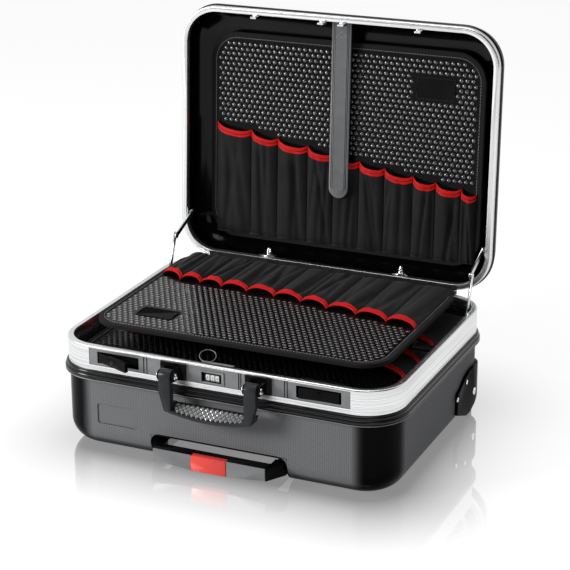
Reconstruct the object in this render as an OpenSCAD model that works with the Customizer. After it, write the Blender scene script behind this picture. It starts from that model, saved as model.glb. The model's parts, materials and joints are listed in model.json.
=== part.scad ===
// Hard tool case on wheels: deep base, shallow lid, two tool boards, carry handle and trolley.
// Millimetres. X to the right along the front, Y to the hinge at the rear, Z up from the ground.

/* [Case] */
// Width of the aluminium frame
case_w = 490; // [440:5:560]
// Depth of the aluminium frame, front to hinge
case_d = 380; // [350:5:420]
// Height of the base frame's rim above the ground
base_h = 152; // [140:1:180]
// Depth of the lid behind its rim
lid_h = 58; // [54:1:80]
// Plan radius of the frame's corners
corner_r = 56; // [50:1:70]
// Radius between the base's walls and its bottom
base_fillet = 32; // [20:1:36]
// Radius between the lid's walls and its top
lid_fillet = 36; // [20:1:38]
// Wall of the moulded shells
wall = 3; // [2.5:0.5:4]
// Inset of the shells from the frame's outer face
shell_inset = 1.5; // [1:0.5:3]

/* [Frames] */
// Width of the frame's rim
rim_w = 8.5; // [8:0.5:10]
// Height of the base frame
base_frame_h = 35; // [33:1:38]
// Height of the lid frame
lid_frame_h = 10; // [8:1:14]
// Height of the trim under the base frame
base_trim_h = 13; // [10:1:15]
// How far the base trim stands out of the frame
base_trim_out = 5; // [3:0.5:6]
// Height of the trim behind the lid frame
lid_trim_h = 6; // [4:1:8]
// How far the lid trim stands out of the frame
lid_trim_out = 2; // [1:0.5:3]
// Gap between the closed rims
rim_gap = 1.8; // [1.8:0.1:3]

/* [Lid] */
// Opening angle of the lid as shown
lid_angle = 93; // [85:1:95]
// Distance from the lid's rim to the face of its tool board
lid_board_n = 41; // [41:1:44]
// Radius of the hinge barrel
barrel_r = 2.6; // [2.4:0.1:3]
// Radius of the hinge pin
hinge_pin_r = 1.5; // [1.2:0.1:1.8]

/* [Tool boards] */
// Half width of the upper tool board and of the lid's tool board
board_half_w = 214; // [200:1:216]
// Half width of the lower tool board
low_board_half_w = 226; // [218:1:227]
// Height of the upper board's face
upper_board_z = 168; // [166:1:169]
// Height of the lower board's face
lower_board_z = 130; // [120:1:132]
// Number of pockets on the upper board and on the lid's board
pocket_count = 10; // [8:1:12]
// Number of pockets on the lower board
low_pocket_count = 8; // [6:1:9]

/* [Latches and lock] */
// Length of a latch lever
lever_len = 55; // [45:1:58]
// Height of a latch lever
lever_h = 13.5; // [12:0.5:15]
// How far the left lever stands open as shown
left_lever_angle = 22; // [0:1:40]
// How far the right lever stands open as shown
right_lever_angle = 5; // [0:1:40]
// Radius of a number wheel
dial_r = 7.5; // [7:0.5:7.5]

/* [Carry handle] */
// Distance from the middle to each handle arm
arm_x = 61.5; // [55:0.5:70]
// Width of a handle arm
arm_w = 16.8; // [14:0.2:20]
// Height of the handle's pivot
handle_z = 137; // [134:1:139]
// Distance from the frame's front face to the handle's pivot
handle_out = 19.5; // [18:0.5:22]
// Distance from the pivot to the lowest point of the grip
handle_drop = 54.5; // [52:0.5:60]

/* [Trolley and wheels] */
// Distance from the middle to each trolley tube
tube_x = 88; // [80:1:92]
// Height of the trolley tubes above the ground
tube_z = 21; // [19:1:22]
// Half width of the recess for the trolley grip
recess_half_w = 98; // [94:1:102]
// Height of the recess
recess_h = 37; // [35:1:38]
// Depth of the recess, front to back
recess_d = 75; // [60:1:80]
// Radius of a wheel
wheel_r = 30; // [26:1:31]
// Width of a wheel
wheel_w = 21; // [18:1:22]

/* [Lid stays] */
// Length of the lower link between its pivots
lower_link = 57.5; // [55:0.5:60]
// Length of the upper link between its pivots
upper_link = 58; // [56:0.5:62]

/* [Hidden] */
$fn = 48;

front_y = -case_d / 2;
rear_y = case_d / 2;
eps = 0.01;
lid_rim_z = base_h + rim_gap;
hinge_y = rear_y + barrel_r + 0.2;
hinge_z = base_h + rim_gap / 2;

shell_w = case_w - 2 * shell_inset;
shell_d = case_d - 2 * shell_inset;
shell_r = corner_r - shell_inset;
tongue = 11;
fit = 0.1;
face_y = front_y + shell_inset;
inner_x = case_w / 2 - rim_w;
inner_y = case_d / 2 - rim_w;
base_frame_z = base_h - base_frame_h;

// ---- Shapes that repeat ----

// Rectangle with round corners, centred
module rounded(w, d, r) {
    square([w - 2 * r, d], center = true);
    square([w, d - 2 * r], center = true);
    for (sx = [-1, 1], sy = [-1, 1])
        translate([sx * (w / 2 - r), sy * (d / 2 - r)])
            circle(r);
}

// Closed band of thickness t inside a rounded rectangle
module band(w, d, r, t, h) {
    linear_extrude(h)
        difference() {
            rounded(w, d, r);
            rounded(w - 2 * t, d - 2 * t, r - t);
        }
}

// Tub standing on z = 0 with a fillet f around its bottom
module tub(w, d, r, h, f) {
    hull() {
        translate([0, 0, f])
            linear_extrude(h - f)
                rounded(w, d, r);
        for (a = [0:10:90])
            translate([0, 0, f * (1 - sin(a))])
                linear_extrude(eps)
                    rounded(w - 2 * f * (1 - cos(a)), d - 2 * f * (1 - cos(a)), r - f * (1 - cos(a)));
    }
}

// Box from its lowest and highest corners
module box(a, b) {
    translate(a)
        cube(b - a);
}

// Right-hand piece and its mirror image
module both_sides() {
    children();
    mirror([1, 0, 0])
        children();
}

// Rod along X between two places
module rod_x(x0, x1, y, z, r) {
    translate([x0, y, z])
        rotate([0, 90, 0])
            cylinder(h = x1 - x0, r = r);
}

// Outline in the Y-Z plane, drawn out along X
module side_plate(x0, x1) {
    translate([x0, 0, 0])
        rotate([90, 0, 90])
            linear_extrude(x1 - x0)
                children();
}

// Outline in the X-Z plane, drawn out along Y
module front_plate(y0, y1) {
    translate([0, y1, 0])
        rotate([90, 0, 0])
            linear_extrude(y1 - y0)
                children();
}

// Turns a lid piece from its closed place to where the photograph shows it
module on_lid() {
    translate([0, hinge_y, hinge_z])
        rotate([-lid_angle, 0, 0])
            translate([0, -hinge_y, -hinge_z])
                children();
}

// Closed lid's frame: x across, s from the hinge edge, n from the rim into the lid
module lid_place(x, s, n) {
    translate([x, rear_y - s, lid_rim_z + n])
        children();
}

// Outline of a row of count arches along X; a full one reaches down to the board
module arches(half_w, count, height, full) {
    pitch = 2 * half_w / count;
    arch_r = (pitch * pitch / 4 + pocket_sag * pocket_sag) / (2 * pocket_sag);
    for (i = [0:count - 1])
        translate([-half_w + (i + 0.5) * pitch, 0])
            intersection() {
                translate([0, height - arch_r])
                    difference() {
                        circle(arch_r);
                        circle(full ? arch_r / 2 : arch_r - pocket_wall);
                    }
                translate([-pitch / 2, 0])
                    square([pitch, height + 1]);
            }
}

// Row of sewn pockets: a sleeve of count arches along X, closed at +Y, its mouth at -Y
pocket_wall = 1.5;
pocket_sag = 2.5;
pocket_end = 4;
module pocket_sleeve(half_w, count, height, length) {
    front_plate(0, length)
        arches(half_w, count, height, false);
    front_plate(length - pocket_end, length)
        arches(half_w, count, height, true);
    for (x = [-half_w, half_w - pocket_end])
        translate([x, 0, 0])
            cube([pocket_end, length, height - pocket_sag - 0.4]);
}

// ---- Base ----

module base_outer() {
    tub(shell_w, shell_d, shell_r, base_frame_z + tongue, base_fillet);
}

wheel_box_x = 194;
wheel_box_y = 138;
wheel_box_z = 71;
cup_wall = 2.5;

module base_shell() {
    color("#2c2e30")
        difference() {
            base_outer();
            translate([0, 0, wall])
                tub(shell_w - 2 * wall, shell_d - 2 * wall, shell_r - wall, base_h, base_fillet - wall);
            box([-recess_half_w - cup_wall, front_y - 20, -1],
                [recess_half_w + cup_wall, face_y + recess_d + cup_wall, recess_h + cup_wall]);
            both_sides()
                box([wheel_box_x, wheel_box_y, -1], [case_w, case_d, wheel_box_z]);
        }
}

panel_half_w = 189;
panel_z0 = 125;
panel_z1 = 149;
panel_depth = 1.5;
pocket_x0 = 114;
pocket_x1 = 176.5;
pocket_z0 = 128.5;
pocket_z1 = 145;
pocket_depth = 7;
lever_pivot_x = 170.5;
lever_pivot_y = front_y + 3.5;
lever_pin_r = 1.5;
lock_x0 = -22;
lock_x1 = 12;
lock_z0 = 127;
lock_z1 = 144.5;

module base_frame() {
    color("#d9dadb")
        union() {
            difference() {
                translate([0, 0, base_frame_z])
                    band(case_w, case_d, corner_r, rim_w, base_frame_h);
                translate([0, 0, base_frame_z - 1])
                    band(shell_w + 2 * fit, shell_d + 2 * fit, shell_r + fit, wall + 2 * fit, tongue + 1.2);
                box([-panel_half_w, front_y - 1, panel_z0], [panel_half_w, front_y + panel_depth, panel_z1]);
                both_sides()
                    box([pocket_x0, front_y - 1, pocket_z0], [pocket_x1, front_y + pocket_depth, pocket_z1]);
                box([lock_x0 - 0.2, front_y - 1, lock_z0 - 0.2], [lock_x1 + 0.2, front_y + 20, lock_z1 + 0.2]);
            }
            both_sides()
                translate([lever_pivot_x, lever_pivot_y, pocket_z0 - 0.2])
                    cylinder(h = pocket_z1 - pocket_z0 + 0.4, r = lever_pin_r);
        }
}

module base_rim_trim() {
    color("#141516")
        translate([0, 0, base_frame_z - base_trim_h])
            band(case_w + 2 * base_trim_out, case_d + 2 * base_trim_out, corner_r + base_trim_out,
                 base_trim_out + shell_inset, base_trim_h);
}

seam = 1.2;
panel_seams = [-101.6, 36, 101.6];

module lock_panel() {
    color("#8b8d8f")
        difference() {
            box([-panel_half_w + 0.2, front_y + 0.3, panel_z0 + 0.2],
                [panel_half_w - 0.2, front_y + panel_depth, panel_z1 - 0.2]);
            both_sides()
                box([pocket_x0, front_y - 1, pocket_z0], [pocket_x1, front_y + pocket_depth, pocket_z1]);
            box([lock_x0 - 0.2, front_y - 1, lock_z0 - 0.2], [lock_x1 + 0.2, front_y + 20, lock_z1 + 0.2]);
            for (x = panel_seams)
                box([x - seam / 2, front_y - 1, panel_z0 - 1], [x + seam / 2, front_y + 5, panel_z1 + 1]);
        }
}

dial_w = 5.4;
dial_pitch = 7;
dial_x = [-11.5, -4.5, 2.5];
dial_y = front_y + 5.8;
dial_z = 135.7;
dial_pin_r = 1.5;
button_x = -18.6;
strike_w = 9;
lock_strike_x = [-21, 10];
latch_strike_x = 126;
strike_y0 = front_y + 9.8;
strike_y1 = front_y + 12.8;
strike_z = 146;

// Slot that a lid strike drops into
module strike_slot(x) {
    box([x - strike_w / 2 - 0.8, strike_y0 - 1.2, strike_z - 0.8],
        [x + strike_w / 2 + 0.8, strike_y1 + 0.8, base_h]);
}

module lock_housing() {
    color("#55585b")
        union() {
            difference() {
                union() {
                    box([lock_x0, front_y - 1.2, lock_z0], [lock_x1, front_y + rim_w + 0.1, lock_z1]);
                    box([-28, front_y + rim_w + 0.1, 122], [18, front_y + 20, 149]);
                }
                box([lock_x0 - 1, face_y - fit, lock_z0 - 1],
                    [lock_x1 + 1, face_y + wall + fit, base_frame_z + tongue + fit]);
                box([dial_x[0] - dial_w / 2 - 0.5, front_y - 2, dial_z - 4.6],
                    [dial_x[2] + dial_w / 2 + 0.5, front_y, dial_z + 4.6]);
                box([dial_x[0] - dial_w / 2 - 0.5, front_y - 0.4, dial_z - dial_r - 0.5],
                    [dial_x[2] + dial_w / 2 + 0.5, dial_y + dial_r + 1, dial_z + dial_r + 0.5]);
                box([button_x - 1.4, front_y - 2, dial_z - 6.4], [button_x + 1.4, front_y + 6, dial_z + 6.4]);
                for (x = lock_strike_x)
                    strike_slot(x);
            }
            rod_x(dial_x[0] - dial_w / 2 - 1, dial_x[2] + dial_w / 2 + 1, dial_y, dial_z, dial_pin_r);
        }
}

module latch_cases() {
    color("#1b1c1d")
        both_sides()
            difference() {
                box([pocket_x0, front_y + rim_w + 0.1, 124], [pocket_x1, front_y + 19, 150]);
                strike_slot(latch_strike_x);
            }
}

bracket_half_w = 18.5;
lug_gap = 0.4;
lug_t = 3;
handle_y = front_y - handle_out;
bracket_front = front_y - 2.7;
handle_pin_r = 3;

module handle_bracket() {
    lug = arm_w / 2 + lug_gap;
    color("#101112")
        difference() {
            union() {
                box([arm_x - bracket_half_w, bracket_front, panel_z0 + 0.5],
                    [arm_x + bracket_half_w, front_y + 0.3, panel_z1 - 0.5]);
                for (x = [arm_x - lug - lug_t, arm_x + lug])
                    side_plate(x, x + lug_t) {
                        translate([handle_y, handle_z])
                            circle(7);
                        translate([handle_y, handle_z - 7])
                            square([bracket_front - handle_y + 1, 14]);
                    }
            }
            rod_x(0, case_w, handle_y, handle_z, handle_pin_r + 0.05);
        }
}

module handle_pins() {
    reach = arm_w / 2 + lug_gap + lug_t;
    color("#b8bbbe")
        both_sides() {
            rod_x(arm_x - reach, arm_x + reach, handle_y, handle_z, handle_pin_r);
            for (x = [arm_x - reach - 2, arm_x + reach])
                rod_x(x, x + 2, handle_y, handle_z, 4.4);
        }
}

leaf_half_w = 197;
leaf_t = 0.7;
knuckle_count = 9;
knuckle_len = 2 * leaf_half_w / knuckle_count;
knuckle_gap = 0.3;
leaf_front = rear_y - rim_w + 0.3;

// Knuckles of one leaf, every second one from the first given, joined to its plate at height z
module knuckles(first, z) {
    for (i = [first:2:knuckle_count - 1]) {
        x0 = -leaf_half_w + i * knuckle_len + knuckle_gap / 2;
        x1 = x0 + knuckle_len - knuckle_gap;
        difference() {
            union() {
                rod_x(x0, x1, hinge_y, hinge_z, barrel_r);
                box([x0, rear_y - 0.3, z], [x1, hinge_y, z + leaf_t]);
            }
            rod_x(x0 - 1, x1 + 1, hinge_y, hinge_z, hinge_pin_r + 0.05);
        }
    }
}

module base_hinge_leaf() {
    color("#1a1b1c")
        union() {
            box([-leaf_half_w, leaf_front, base_h], [leaf_half_w, rear_y - 0.2, base_h + leaf_t]);
            knuckles(0, base_h);
        }
}

module hinge_pin() {
    color("#9a9da0")
        rod_x(-leaf_half_w, leaf_half_w, hinge_y, hinge_z, hinge_pin_r);
}

floor_z = recess_h + cup_wall;
floor_t = 2.5;

module floor_panel() {
    inset = wall + 0.3;
    color("#202224")
        translate([0, 0, floor_z])
            linear_extrude(floor_t)
                difference() {
                    rounded(shell_w - 2 * inset, shell_d - 2 * inset, shell_r - inset);
                    for (side = [-1, 1])
                        translate([side * (case_w / 2 + wheel_box_x - 4) / 2, (case_d / 2 + wheel_box_y - 4) / 2])
                            square([case_w / 2 - wheel_box_x + 4, case_d / 2 - wheel_box_y + 4], center = true);
                }
}

board_t = 5;
low_board_half_d = 166;
low_mouth_y = -62;
low_pocket_h = 12;

module lower_tool_board() {
    color("#1c1d1f")
        translate([0, 0, lower_board_z - board_t])
            linear_extrude(board_t)
                rounded(2 * low_board_half_w, 2 * low_board_half_d, 42);
}

module lower_tool_pockets() {
    color("#17181a")
        translate([0, low_mouth_y, lower_board_z])
            pocket_sleeve(low_board_half_w - 8, low_pocket_count, low_pocket_h, low_board_half_d - low_mouth_y - 6);
}

rail_t = 4;
rail_z = lower_board_z - board_t - rail_t;

module board_rails() {
    color("#17181a") {
        both_sides() {
            box([low_board_half_w - 8, -133, rail_z], [inner_x, 66, rail_z + rail_t]);
            box([board_half_w - 10, -20, base_h - 6], [inner_x, 0, base_h - 3]);
            box([board_half_w - 10, -20, base_h - 3], [board_half_w - 6, 0, upper_board_z - board_t]);
        }
        box([-150, low_board_half_d - 10, rail_z], [150, inner_y, rail_z + rail_t]);
    }
}

board_axis_y = 171;
board_axis_z = 159;
board_pin_r = 1.5;
board_eye_r = 3.5;
board_lug_x = [-160, 160];
board_lug_w = 24;

module board_hinge_rail() {
    color("#2a2c2e")
        for (x = board_lug_x) {
            for (side = [-1, 1])
                difference() {
                    side_plate(x + side * (board_lug_w / 2 + 2.4) - 2, x + side * (board_lug_w / 2 + 2.4) + 2) {
                        translate([board_axis_y, board_axis_z])
                            circle(board_eye_r);
                        translate([board_axis_y - board_eye_r, board_axis_z - 24])
                            square([2 * board_eye_r, 24]);
                        translate([board_axis_y, board_axis_z - 24])
                            square([inner_y - board_axis_y, 14]);
                    }
                    rod_x(-case_w, case_w, board_axis_y, board_axis_z, board_pin_r);
                }
            rod_x(x - board_lug_w / 2 - 4.4, x + board_lug_w / 2 + 4.4, board_axis_y, board_axis_z, board_pin_r);
        }
}

outer_tube = [24, 22];
mid_tube = [20, 18];
inner_tube = [16, 14];
tube_wall = 1.5;
tube_front = face_y + recess_d + cup_wall;
tube_rear = 148;

// Pair of tubes of a rectangular section from y0 to y1
module tube_pair(section, y0, y1) {
    both_sides()
        translate([tube_x, 0, tube_z])
            front_plate(y0, y1)
                difference() {
                    square(section, center = true);
                    square([section[0] - 2 * tube_wall, section[1] - 2 * tube_wall], center = true);
                }
}

module trolley_cup() {
    color("#0f1011")
        difference() {
            intersection() {
                base_outer();
                difference() {
                    box([-recess_half_w - cup_wall + fit, front_y - 20, -1],
                        [recess_half_w + cup_wall - fit, face_y + recess_d + cup_wall, recess_h + cup_wall - fit]);
                    box([-recess_half_w, front_y - 20, -2], [recess_half_w, face_y + recess_d, recess_h]);
                }
            }
            both_sides()
                translate([tube_x, 0, tube_z])
                    front_plate(face_y + recess_d - 1, tube_front + 1)
                        square([mid_tube[0] + 0.8, mid_tube[1] + 0.8], center = true);
        }
}

module trolley_outer_tubes() {
    color("#8d9093")
        tube_pair(outer_tube, tube_front, tube_rear + 2);
}

wheel_y = 176;
wheel_z = 33;
wheel_x0 = 200.5;
housing_x = 248;
housing_y = 193;
housing_r = 59;
housing_outline = [
    [47, 29], [50, 53], [60, 55.5], [72, 58], [84, 64], [93, 69], [107, 72], [125, 73], [150, 70],
    [212, 60], [212, 26], [152, 24], [132, 14], [115, 8.5], [98, 9], [70, 20]
];
axle_r = 4;

module wheel_housing() {
    color("#0e0f10")
        difference() {
            union() {
                intersection() {
                    linear_extrude(80)
                        difference() {
                            housing_plan();
                            rounded(shell_w + 2 * fit, shell_d + 2 * fit, shell_r + fit);
                        }
                    side_plate(180, 260)
                        polygon(housing_outline);
                }
                translate([0, 0, 20])
                    linear_extrude(wheel_box_z - 20.2)
                        intersection() {
                            rounded(shell_w + 3 * fit, shell_d + 3 * fit, shell_r + fit);
                            translate([wheel_box_x + 0.2, wheel_box_y + 0.2])
                                square([60, 80]);
                        }
            }
            rod_x(wheel_x0 - 2, wheel_x0 + wheel_w + 2, wheel_y, wheel_z, wheel_r + 3);
            box([wheel_x0 - 2, wheel_y, -1], [wheel_x0 + wheel_w + 2, 240, wheel_z + 22]);
            box([wheel_x0 - 2, wheel_y - wheel_r, -1], [wheel_x0 + wheel_w + 2, 240, wheel_z - 12]);
            rod_x(190, 233, wheel_y, wheel_z, axle_r + 0.02);
        }
}

// Plan of a wheel housing: the case's rear right corner, squared off
module housing_plan() {
    translate([190, 60])
        square([housing_x - 190, housing_y - housing_r - 60]);
    translate([190, 60])
        square([housing_x - housing_r - 190, housing_y - 60]);
    translate([housing_x - housing_r, housing_y - housing_r])
        circle(housing_r);
}

module housing_screws() {
    color("#a9acaf")
        both_sides()
            for (p = [[94.5, 61.3, 3.4], [56.7, 49.6, 3.4], [128.4, 34.6, 5.4]])
                rod_x(housing_x, housing_x + 1.4, p[0], p[1], p[2]);
}

module wheel_axles() {
    color("#b0b3b6")
        both_sides()
            rod_x(wheel_box_x + 0.4, 232.6, wheel_y, wheel_z, axle_r);
}

stay_pivot = [131, 143];
lid_pin_s = 62.5;
lid_pin_n = 8.5;
stay_pin_r = 2;
plate_x = inner_x - 1.6;
lower_link_x = inner_x - 4.2;
upper_link_x = inner_x - 6.9;
link_t = 2;

module stay_base_brackets() {
    color("#a4a7aa")
        both_sides() {
            box([plate_x, stay_pivot[0] - 11, stay_pivot[1] - 8], [inner_x, stay_pivot[0] + 2.8, stay_pivot[1] + 4]);
            rod_x(lower_link_x - 0.1, plate_x, stay_pivot[0], stay_pivot[1], stay_pin_r);
        }
}

module key_loop() {
    color("#c8cacc")
        translate([-23.5, front_y + 25, 154.2])
            rotate([22, 12, 0])
                rotate_extrude()
                    translate([11, 0])
                        circle(0.5, $fn = 16);
}

// ---- Lid ----

module lid_outer(inset, h, f) {
    translate([0, 0, lid_rim_z + h])
        mirror([0, 0, 1])
            tub(shell_w - 2 * inset, shell_d - 2 * inset, shell_r - inset, h - lid_frame_h + 6, f);
}

module lid_shell() {
    color("#2c2e30")
        on_lid()
            difference() {
                lid_outer(0, lid_h, lid_fillet);
                translate([0, 0, -1])
                    lid_outer(wall, lid_h - wall + 1, lid_fillet - wall);
            }
}

module lid_frame() {
    color("#d9dadb")
        on_lid()
            difference() {
                translate([0, 0, lid_rim_z])
                    band(case_w, case_d, corner_r, rim_w, lid_frame_h);
                translate([0, 0, lid_rim_z + lid_frame_h - 6 - fit])
                    band(shell_w + 2 * fit, shell_d + 2 * fit, shell_r + fit, wall + 2 * fit, 10);
            }
}

module lid_rim_trim() {
    color("#141516")
        on_lid()
            translate([0, 0, lid_rim_z + lid_frame_h])
                band(case_w + 2 * lid_trim_out, case_d + 2 * lid_trim_out, corner_r + lid_trim_out,
                     lid_trim_out + shell_inset, lid_trim_h);
}

module lid_hinge_leaf() {
    color("#1a1b1c")
        on_lid()
            union() {
                box([-leaf_half_w, leaf_front, lid_rim_z - leaf_t], [leaf_half_w, rear_y - 0.2, lid_rim_z]);
                knuckles(1, lid_rim_z - leaf_t);
            }
}

module lid_strikes() {
    color("#d0d2d4")
        on_lid()
            for (x = concat(lock_strike_x, [-latch_strike_x, latch_strike_x])) {
                box([x - strike_w / 2, strike_y0, strike_z], [x + strike_w / 2, strike_y1, lid_rim_z + 6]);
                box([x - strike_w / 2, front_y + rim_w, lid_rim_z + 0.4],
                    [x + strike_w / 2, strike_y0 + 1, lid_rim_z + 6]);
            }
}

lid_board_s0 = 24;
lid_board_s1 = 336;
lid_pocket_h = 12;
lid_mouth_left = 205;
lid_mouth_right = 128;

module lid_tool_board() {
    color("#1c1d1f")
        on_lid() {
            lid_place(0, (lid_board_s0 + lid_board_s1) / 2, lid_board_n)
                linear_extrude(board_t)
                    rounded(2 * board_half_w, lid_board_s1 - lid_board_s0, 42);
            lid_place(140, 281, lid_board_n - 0.8)
                linear_extrude(0.8)
                    rounded(58, 32, 2);
        }
}

// Pockets of the lid's board; their mouths step down towards the right
module lid_tool_pockets() {
    half_w = board_half_w - 6;
    long = lid_mouth_left - lid_board_s0 - 5;
    color("#17181a")
        on_lid()
            difference() {
                translate([0, rear_y - lid_mouth_left, lid_rim_z + lid_board_n])
                    mirror([0, 0, 1])
                        pocket_sleeve(half_w, pocket_count, lid_pocket_h, long);
                translate([-half_w, rear_y - lid_mouth_left, 0])
                    rotate([0, 0, atan((lid_mouth_left - lid_mouth_right) / (2 * half_w))])
                        translate([-50, -200, 0])
                            cube([600, 200, 400]);
            }
}

turn_lock_x = 105.5;
turn_lock_n = 16;
ledge_s = shell_inset + wall;

module turn_lock_plates() {
    color("#b9bcbf")
        on_lid()
            both_sides()
                lid_place(turn_lock_x, 0, turn_lock_n)
                    translate([-12, -9, -6])
                        cube([24, 9 - ledge_s, 12]);
}

module turn_lock(x) {
    color("#d5d7d9")
        on_lid()
            lid_place(x, 9.2, turn_lock_n)
                rotate([90, 0, 0]) {
                    cylinder(h = 1.6, r = 10.5);
                    cylinder(h = 3.2, r = 4.2);
                    translate([-1.1, 0, 6.6])
                        rotate([90, 0, 90])
                            linear_extrude(2.2)
                                difference() {
                                    circle(5.4);
                                    circle(3.2);
                                }
                }
}

foot_x = 150;

module lid_standing_feet() {
    color("#141516")
        on_lid()
            difference() {
                both_sides()
                    box([foot_x - 22, rear_y - 18, lid_rim_z + 20], [foot_x + 22, rear_y + 16, lid_rim_z + 44]);
                lid_outer(0, lid_h, lid_fillet);
            }
}

module stay_lid_brackets() {
    color("#a4a7aa")
        on_lid()
            both_sides() {
                lid_place(plate_x, lid_pin_s, lid_pin_n)
                    translate([0, -7, -7.5])
                        cube([inner_x - plate_x, 13, 12]);
                rod_x(upper_link_x - 0.1, plate_x, rear_y - lid_pin_s, lid_rim_z + lid_pin_n, stay_pin_r);
            }
}

strap_x = -1;
strap_w = 30;
strap_t = 2.5;
strap_n = 26;
strap_s0 = 107;
strap_s1 = 374;

module retaining_strap() {
    color("#4a4c4e")
        on_lid()
            lid_place(strap_x, 0, strap_n)
                linear_extrude(strap_t)
                    union() {
                        translate([-strap_w / 2, -strap_s1])
                            square([strap_w, strap_s1 - strap_s0 - strap_w / 2]);
                        translate([0, -strap_s0 - strap_w / 2])
                            circle(strap_w / 2);
                    }
}

// ---- Upper tool board ----

upper_front = -146;
upper_rear = 165;
upper_pocket_h = 11;
upper_mouth_left = 66;
upper_mouth_right = -6;

module upper_tool_board() {
    color("#1c1d1f")
        difference() {
            union() {
                translate([0, (upper_front + upper_rear) / 2, upper_board_z - board_t])
                    linear_extrude(board_t)
                        rounded(2 * board_half_w, upper_rear - upper_front, 42);
                for (x = board_lug_x)
                    side_plate(x - board_lug_w / 2, x + board_lug_w / 2) {
                        translate([board_axis_y, board_axis_z])
                            circle(board_eye_r);
                        translate([board_axis_y - 14, board_axis_z])
                            square([14, board_eye_r]);
                        translate([board_axis_y - 14, board_axis_z])
                            square([8, upper_board_z - board_axis_z - 1]);
                    }
                translate([-139, -84.5, upper_board_z])
                    linear_extrude(0.8)
                        rounded(55, 31, 2);
            }
            rod_x(-case_w, case_w, board_axis_y, board_axis_z, board_pin_r + 0.05);
        }
}

module upper_tool_pockets() {
    half_w = board_half_w - 6;
    long = upper_rear - 4 - upper_mouth_right;
    color("#17181a")
        difference() {
            translate([0, upper_mouth_right, upper_board_z])
                pocket_sleeve(half_w, pocket_count, upper_pocket_h, long);
            translate([half_w, upper_mouth_right, 0])
                rotate([0, 0, -atan((upper_mouth_left - upper_mouth_right) / (2 * half_w))])
                    translate([-550, -200, 0])
                        cube([600, 200, 400]);
        }
}

// ---- Latches and lock ----

lever_z0 = 130;
lever_t = 5;

// Right-hand lever, shut, with its pivot at the origin of the plan
module lever_shape() {
    difference() {
        union() {
            translate([-lever_len + 3, -4, 0])
                cube([lever_len, lever_t, lever_h]);
            cylinder(h = lever_h, r = 3.2);
            translate([-26, -4, lever_h / 2])
                rotate([90, 0, 0])
                    cylinder(h = 0.6, r = 4.2);
        }
        translate([0, 0, -1])
            cylinder(h = lever_h + 2, r = lever_pin_r + 0.05);
    }
}

module latch_lever_right() {
    color("#151617")
        translate([lever_pivot_x, lever_pivot_y, lever_z0])
            rotate([0, 0, right_lever_angle])
                lever_shape();
}

module latch_lever_left() {
    color("#151617")
        translate([-lever_pivot_x, lever_pivot_y, lever_z0])
            rotate([0, 0, -left_lever_angle])
                mirror([1, 0, 0])
                    lever_shape();
}

module dial(i) {
    color("#e4e5e6")
        difference() {
            rod_x(dial_x[i] - dial_w / 2, dial_x[i] + dial_w / 2, dial_y, dial_z, dial_r);
            rod_x(dial_x[i] - dial_w, dial_x[i] + dial_w, dial_y, dial_z, dial_pin_r + 0.05);
        }
}

module lock_button() {
    color("#101112")
        box([button_x - 1.1, front_y - 3, dial_z - 6], [button_x + 1.1, front_y + 3, dial_z + 6]);
}

// ---- Carry handle ----

arm_t = 10;
arm_in = arm_x - arm_w / 2;
arm_out = arm_x + arm_w / 2;
arm_front = handle_y - 9.5;
grip_rear = front_y - 7.6;
grip_bottom = handle_z - handle_drop;
grip_top = grip_bottom + 15.5;
foot_half_w = arm_out - 7;
grip_bow = 8;
grip_bow_r = (foot_half_w * foot_half_w + grip_bow * grip_bow) / (2 * grip_bow);
lip_h = 4;

// Everything above the grip's bowed underside, moved up by rise
module above_bow(rise) {
    translate([0, grip_bottom + rise + grip_bow_r])
        circle(grip_bow_r, $fn = 360);
}

// Front outline: arms that lean in towards the bowed foot
module handle_outline() {
    intersection() {
        polygon([[-foot_half_w, grip_bottom], [foot_half_w, grip_bottom], [foot_half_w, grip_bottom + 9],
                 [arm_out, grip_bottom + 34], [arm_out, handle_z + 20], [-arm_out, handle_z + 20],
                 [-arm_out, grip_bottom + 34], [-foot_half_w, grip_bottom + 9]]);
        above_bow(0);
    }
}

module carry_handle() {
    color("#232527")
        difference() {
            intersection() {
                union() {
                    both_sides()
                        side_plate(arm_in, arm_out) {
                            translate([handle_y, handle_z])
                                circle(9.5);
                            translate([arm_front, grip_bottom])
                                square([arm_t, handle_drop]);
                            translate([arm_front, grip_bottom])
                                square([grip_rear - arm_front, grip_top - grip_bottom]);
                        }
                    box([-arm_x, arm_front, grip_bottom], [arm_x, grip_rear, grip_top]);
                }
                front_plate(arm_front - 1, grip_rear + 30)
                    handle_outline();
            }
            front_plate(arm_front - 1, grip_rear + 1)
                intersection() {
                    translate([-arm_in, grip_bottom])
                        square([2 * arm_in, handle_drop + 20]);
                    above_bow(lip_h);
                }
            rod_x(-case_w, case_w, handle_y, handle_z, handle_pin_r + 0.05);
        }
}

module handle_grip() {
    half = arm_in - 0.2;
    grip_front = arm_front + 1.2;
    color("#2e3032")
        intersection() {
            front_plate(grip_front, grip_rear - 1.2)
                intersection() {
                    translate([-half, grip_bottom])
                        square([2 * half, grip_top - grip_bottom]);
                    above_bow(lip_h + fit);
                }
            side_plate(-half, half)
                polygon([[grip_front, grip_bottom], [grip_rear, grip_bottom], [grip_rear, grip_top],
                         [grip_rear - 6, grip_top], [grip_front, grip_bottom + lip_h + 3]]);
        }
}

// ---- Trolley ----

grip_half_w = 81.5;
bar_front = -216;
bar_rear = -199;
bar_z0 = 11;
bar_z1 = 33;
bar_sag = 5.5;
button_half_w = 25.5;
tube_stop = -178;

module trolley_mid_tubes() {
    color("#a6a9ac")
        tube_pair(mid_tube, tube_front + 2, tube_rear);
}

module trolley_inner_tubes() {
    color("#bfc2c5")
        tube_pair(inner_tube, tube_stop - 8, tube_rear - 2);
}

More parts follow.
